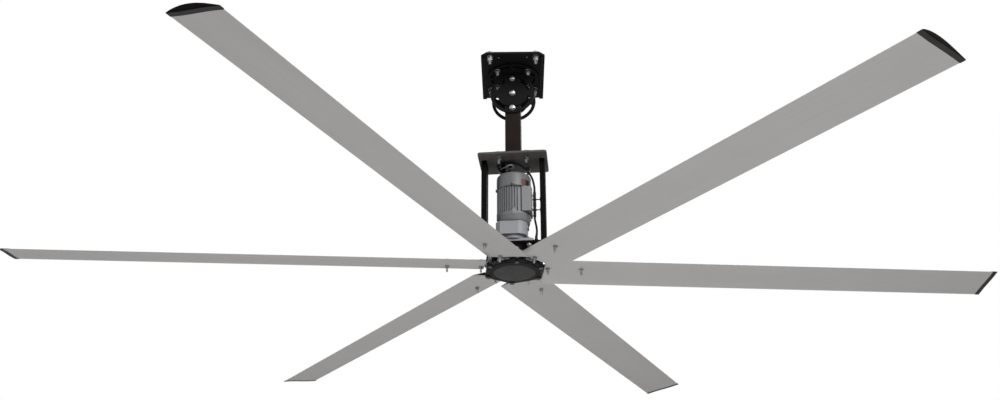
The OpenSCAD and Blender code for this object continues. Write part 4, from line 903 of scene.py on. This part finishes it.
label = piece("blank_label", [placed(label_sheet(), HEADED)], blank_plate,
              ["label_plate"], ends=[HEADED @ turn(2, a + 90) for a in LABEL_ARC])
mapped(label, HEADED, lambda x, y, z: (
    np.interp(np.degrees(np.arctan2(y, x)), LABEL_ARC, (0, 1)), np.interp(z, LABEL_Z, (0, 1))))

# %% [markdown]
# ## Windings
#
# The coils' ends come out of the core as two thick bundles of wire. A bundle is a ring whose section
# swells and shrinks round the axis, once for each of the 12 coils: 0.86 + 0.14 |cos(6 a)|.

# %% Coil ends
def coil_end(z0, z1, coils=12, sides=144, around=20):
    """Torus-like ring: section angle t and turn a, with the section's size following |cos(coils/2 a)|."""
    a, t = circle(sides), circle(around)[:, None]
    swell = 0.86 + 0.14 * np.abs(np.cos(coils / 2 * a))
    r = 41 + 6.8 * swell * np.sign(np.cos(t)) * np.abs(np.cos(t)) ** 0.7
    z = (z0 + z1) / 2 + (z1 - z0) / 2 * swell * np.sign(np.sin(t)) * np.abs(np.sin(t)) ** 0.7
    rows = polar(r, a, z)
    return skin(np.concatenate([rows, rows[:1]]))


CORE_LOW = BODY_LOW + 13
coils = piece("coil_ends_wound", repeated([coil_end(CORE_LOW - 11, CORE_LOW - 0.2), coil_end(
    CORE_LOW + 75.2, CORE_LOW + 86)], [HEADED]), copper, ["stator_windings"])
mapped(coils, HEADED, lambda x, y, z: (np.arctan2(y, x), (np.hypot(x, y) + z) / 10))

# %% [markdown]
# ## Safety eye and shackle
#
# The shackle is bent from round bar, so it is a tube along a line, which runs through the eye, along one
# arm, round the bow and back. The eye is the CAD's with softer edges.

# %% Shackle and eye
EYE, EYE_LOW, GAP, ARM, BAR, BEND = (-40, 4), LEG_TOP - 24, 11, 40, 3, 4.0


def arc(x, y, r, start, end, steps):
    """Points (x + r cos a, y + r sin a, 0) for angles a from start to end."""
    return polar(r, np.radians(np.linspace(start, end, steps)), 0) + (x, y, 0)


def closed_tube(path, radius, sides=18):
    """A round section carried round a closed line that lies flat."""
    along = unit(np.roll(path, -1, 0) - np.roll(path, 1, 0))
    rings = ringed(path, np.cross(along, UP), UP, radius, sides)
    return skin(np.concatenate([rings, rings[:1]]))


line = np.vstack([[0, 0, 0], arc(BEND, BEND - GAP, BEND, -180, -90, 8), arc(ARM, 0, GAP, -90, 90, 25),
                  arc(BEND, GAP - BEND, BEND, 90, 180, 8)])
piece("safety_shackle_bent", [placed(closed_tube(line, BAR), HEADED @ shift(*EYE, EYE_LOW) @ turn(2, -41))],
      galvanised, ["safety_shackle"])
softened("safety_eye", frame_paint, 0.7)

# %% [markdown]
# ## The hub cover
#
# The cover is turned: a nearly flat face, a step up to the rim, a fine bead on the rim and an edge that
# turns up. Its section is carried round the axis, with small rounds at its corners.

# %% Hub cover
COVER_LOW = HUB_LOW - 5.5
outside = [(0, 0.0), (30, 0.02), (60, 0.05), (74.6, 0.1), (75.4, 0.3), (76, 0.9), (76.6, 2.2), (77.2, 2.8),
           (78, 3.0), (84, 3.0), (84.6, 3.25), (85.4, 3.25), (86, 3.0), (96.4, 3.0), (97.4, 3.25), (98, 4.0),
           (98, 5.1), (97.6, 5.5)]
inside = [(76.2, 5.5), (75.6, 4.9), (74.6, 2.2), (73.8, 1.6), (60, 1.5), (0, 1.5)]
cover = turned([(r, z + COVER_LOW) for r, z in outside + inside], 160)
piece("hub_cover_spun", [cover], turned_black, ["hub_cover"], 22, body="fan_rotor")

# %% [markdown]
# ## Weld at the foot of the tube
#
# The tube is welded to its flange all round. The bead is a small section carried round the tube's foot,
# swelling at each ripple of the torch: r = 3.2 (0.82 + 0.18 |sin(1.3 i)|) at the i-th step along it.

# %% Weld bead
def weld_bead(half=30, reach=3.2, steps=40):
    """A closed tube round the square foot: one side's points, turned to all four sides."""
    side = np.linspace(-half, half, steps)[:-1]
    edge = np.stack([side, 0 * side - half, 0 * side + TUBE_LOW + 0.2], -1)
    centre = np.vstack([moved(edge, turn(2, 90 * k)) for k in range(4)])
    out = centre * (1, 1, 0) / half
    out[np.abs(out) < 0.97] = 0
    ripple = reach * (0.82 + 0.18 * np.abs(np.sin(np.arange(len(centre)) * 1.3)))
    rings = ringed(centre, out, UP, ripple, 10)
    return skin(np.concatenate([rings, rings[:1]]))


piece("tube_foot_weld", [placed(weld_bead(), HEADED)], tube_paint)

# %% [markdown]
# ## Floor and light
#
# The fan hangs in a plain pale room. The floor far below keeps a soft shadow, and further out it fades
# into the white world. The camera and mirrors see that world as plain white, and dull surfaces get less
# of its light. Soft lamps model the round parts.

# %% Floor
FLOOR_Z, FLOOR_WIDE = -5.0, 80
floor_mesh = bpy.data.meshes.new("floor")
floor_mesh.from_pydata([(x, y, FLOOR_Z) for x, y in corners(FLOOR_WIDE, FLOOR_WIDE)], [], [(0, 2, 3, 1)])
floor = bpy.data.objects.new("floor", floor_mesh)
bpy.context.scene.collection.objects.link(floor)


def mixed(tree, share, first, second):
    """The first shader where share is 0, and the second where it is 1."""
    return linked(tree, "ShaderNodeMixShader", {0: share, 1: first, 2: second}).outputs[0]


def floor_finish():
    """Pale and dull near the fan. Far out, the camera sees it as white, and from below it isn't seen."""
    m = bpy.data.materials.new("pale_floor")
    m.use_nodes = True
    tree, shader = m.node_tree, m.node_tree.nodes["Principled BSDF"]
    shader.inputs["Base Color"].default_value = (0.86, 0.86, 0.86, 1)
    shader.inputs["Roughness"].default_value = 0.9
    shader.inputs["Specular IOR Level"].default_value = 0.1
    where = linked(tree, "ShaderNodeTexCoord").outputs["Object"]
    far = spread(tree, off_axis(tree, where), 0.25, 1, 1.5, 6.0)
    camera_ray = linked(tree, "ShaderNodeLightPath").outputs["Is Camera Ray"]
    white = linked(tree, "ShaderNodeEmission", {"Color": (1, 1, 1, 1), "Strength": 1.0}).outputs[0]
    top = mixed(tree, combined(tree, "MULTIPLY", far, camera_ray), shader.outputs[0], white)
    back = linked(tree, "ShaderNodeNewGeometry").outputs["Backfacing"]
    clear = linked(tree, "ShaderNodeBsdfTransparent").outputs[0]
    tree.links.new(mixed(tree, back, top, clear), tree.nodes["Material Output"].inputs["Surface"])
    return m


floor_mesh.materials.append(floor_finish())
print("floor at", FLOOR_Z)

# %% World and lamps
world = bpy.data.worlds.new("pale_room")
bpy.context.scene.world = world
world.use_nodes = True
tree = world.node_tree
calm = tree.nodes["Background"]
calm.inputs["Color"].default_value, calm.inputs["Strength"].default_value = (1, 1, 1, 1), 0.16
plain = linked(tree, "ShaderNodeBackground", {"Color": (1, 1, 1, 1), "Strength": 1.0}).outputs[0]
rays = linked(tree, "ShaderNodeLightPath").outputs
seen = combined(tree, "MAXIMUM", rays["Is Camera Ray"], rays["Is Glossy Ray"])
seen = combined(tree, "MAXIMUM", seen, rays["Is Transmission Ray"])
tree.links.new(mixed(tree, seen, calm.outputs[0], plain), tree.nodes["World Output"].inputs["Surface"])


def lamp(name, place, towards, size, watts):
    """A square soft lamp at a place, its face towards a point."""
    light = bpy.data.lights.new(name, "AREA")
    light.size, light.energy = size, watts
    made = bpy.data.objects.new(name, light)
    bpy.context.scene.collection.objects.link(made)
    made.location = place
    made.rotation_euler = (Vector(towards) - Vector(place)).to_track_quat("-Z", "Y").to_euler()


lamp("window_right", (1.7, -3.5, 1.2), (0, 0, -0.6), 2.4, 132)
lamp("skylight", (0.5, 2.0, 2.6), (0, 0, -0.6), 3.0, 92)
lamp("floor_glow", (-0.2, -0.4, -4.85), (-0.2, -0.4, 0), 7.0, 232)
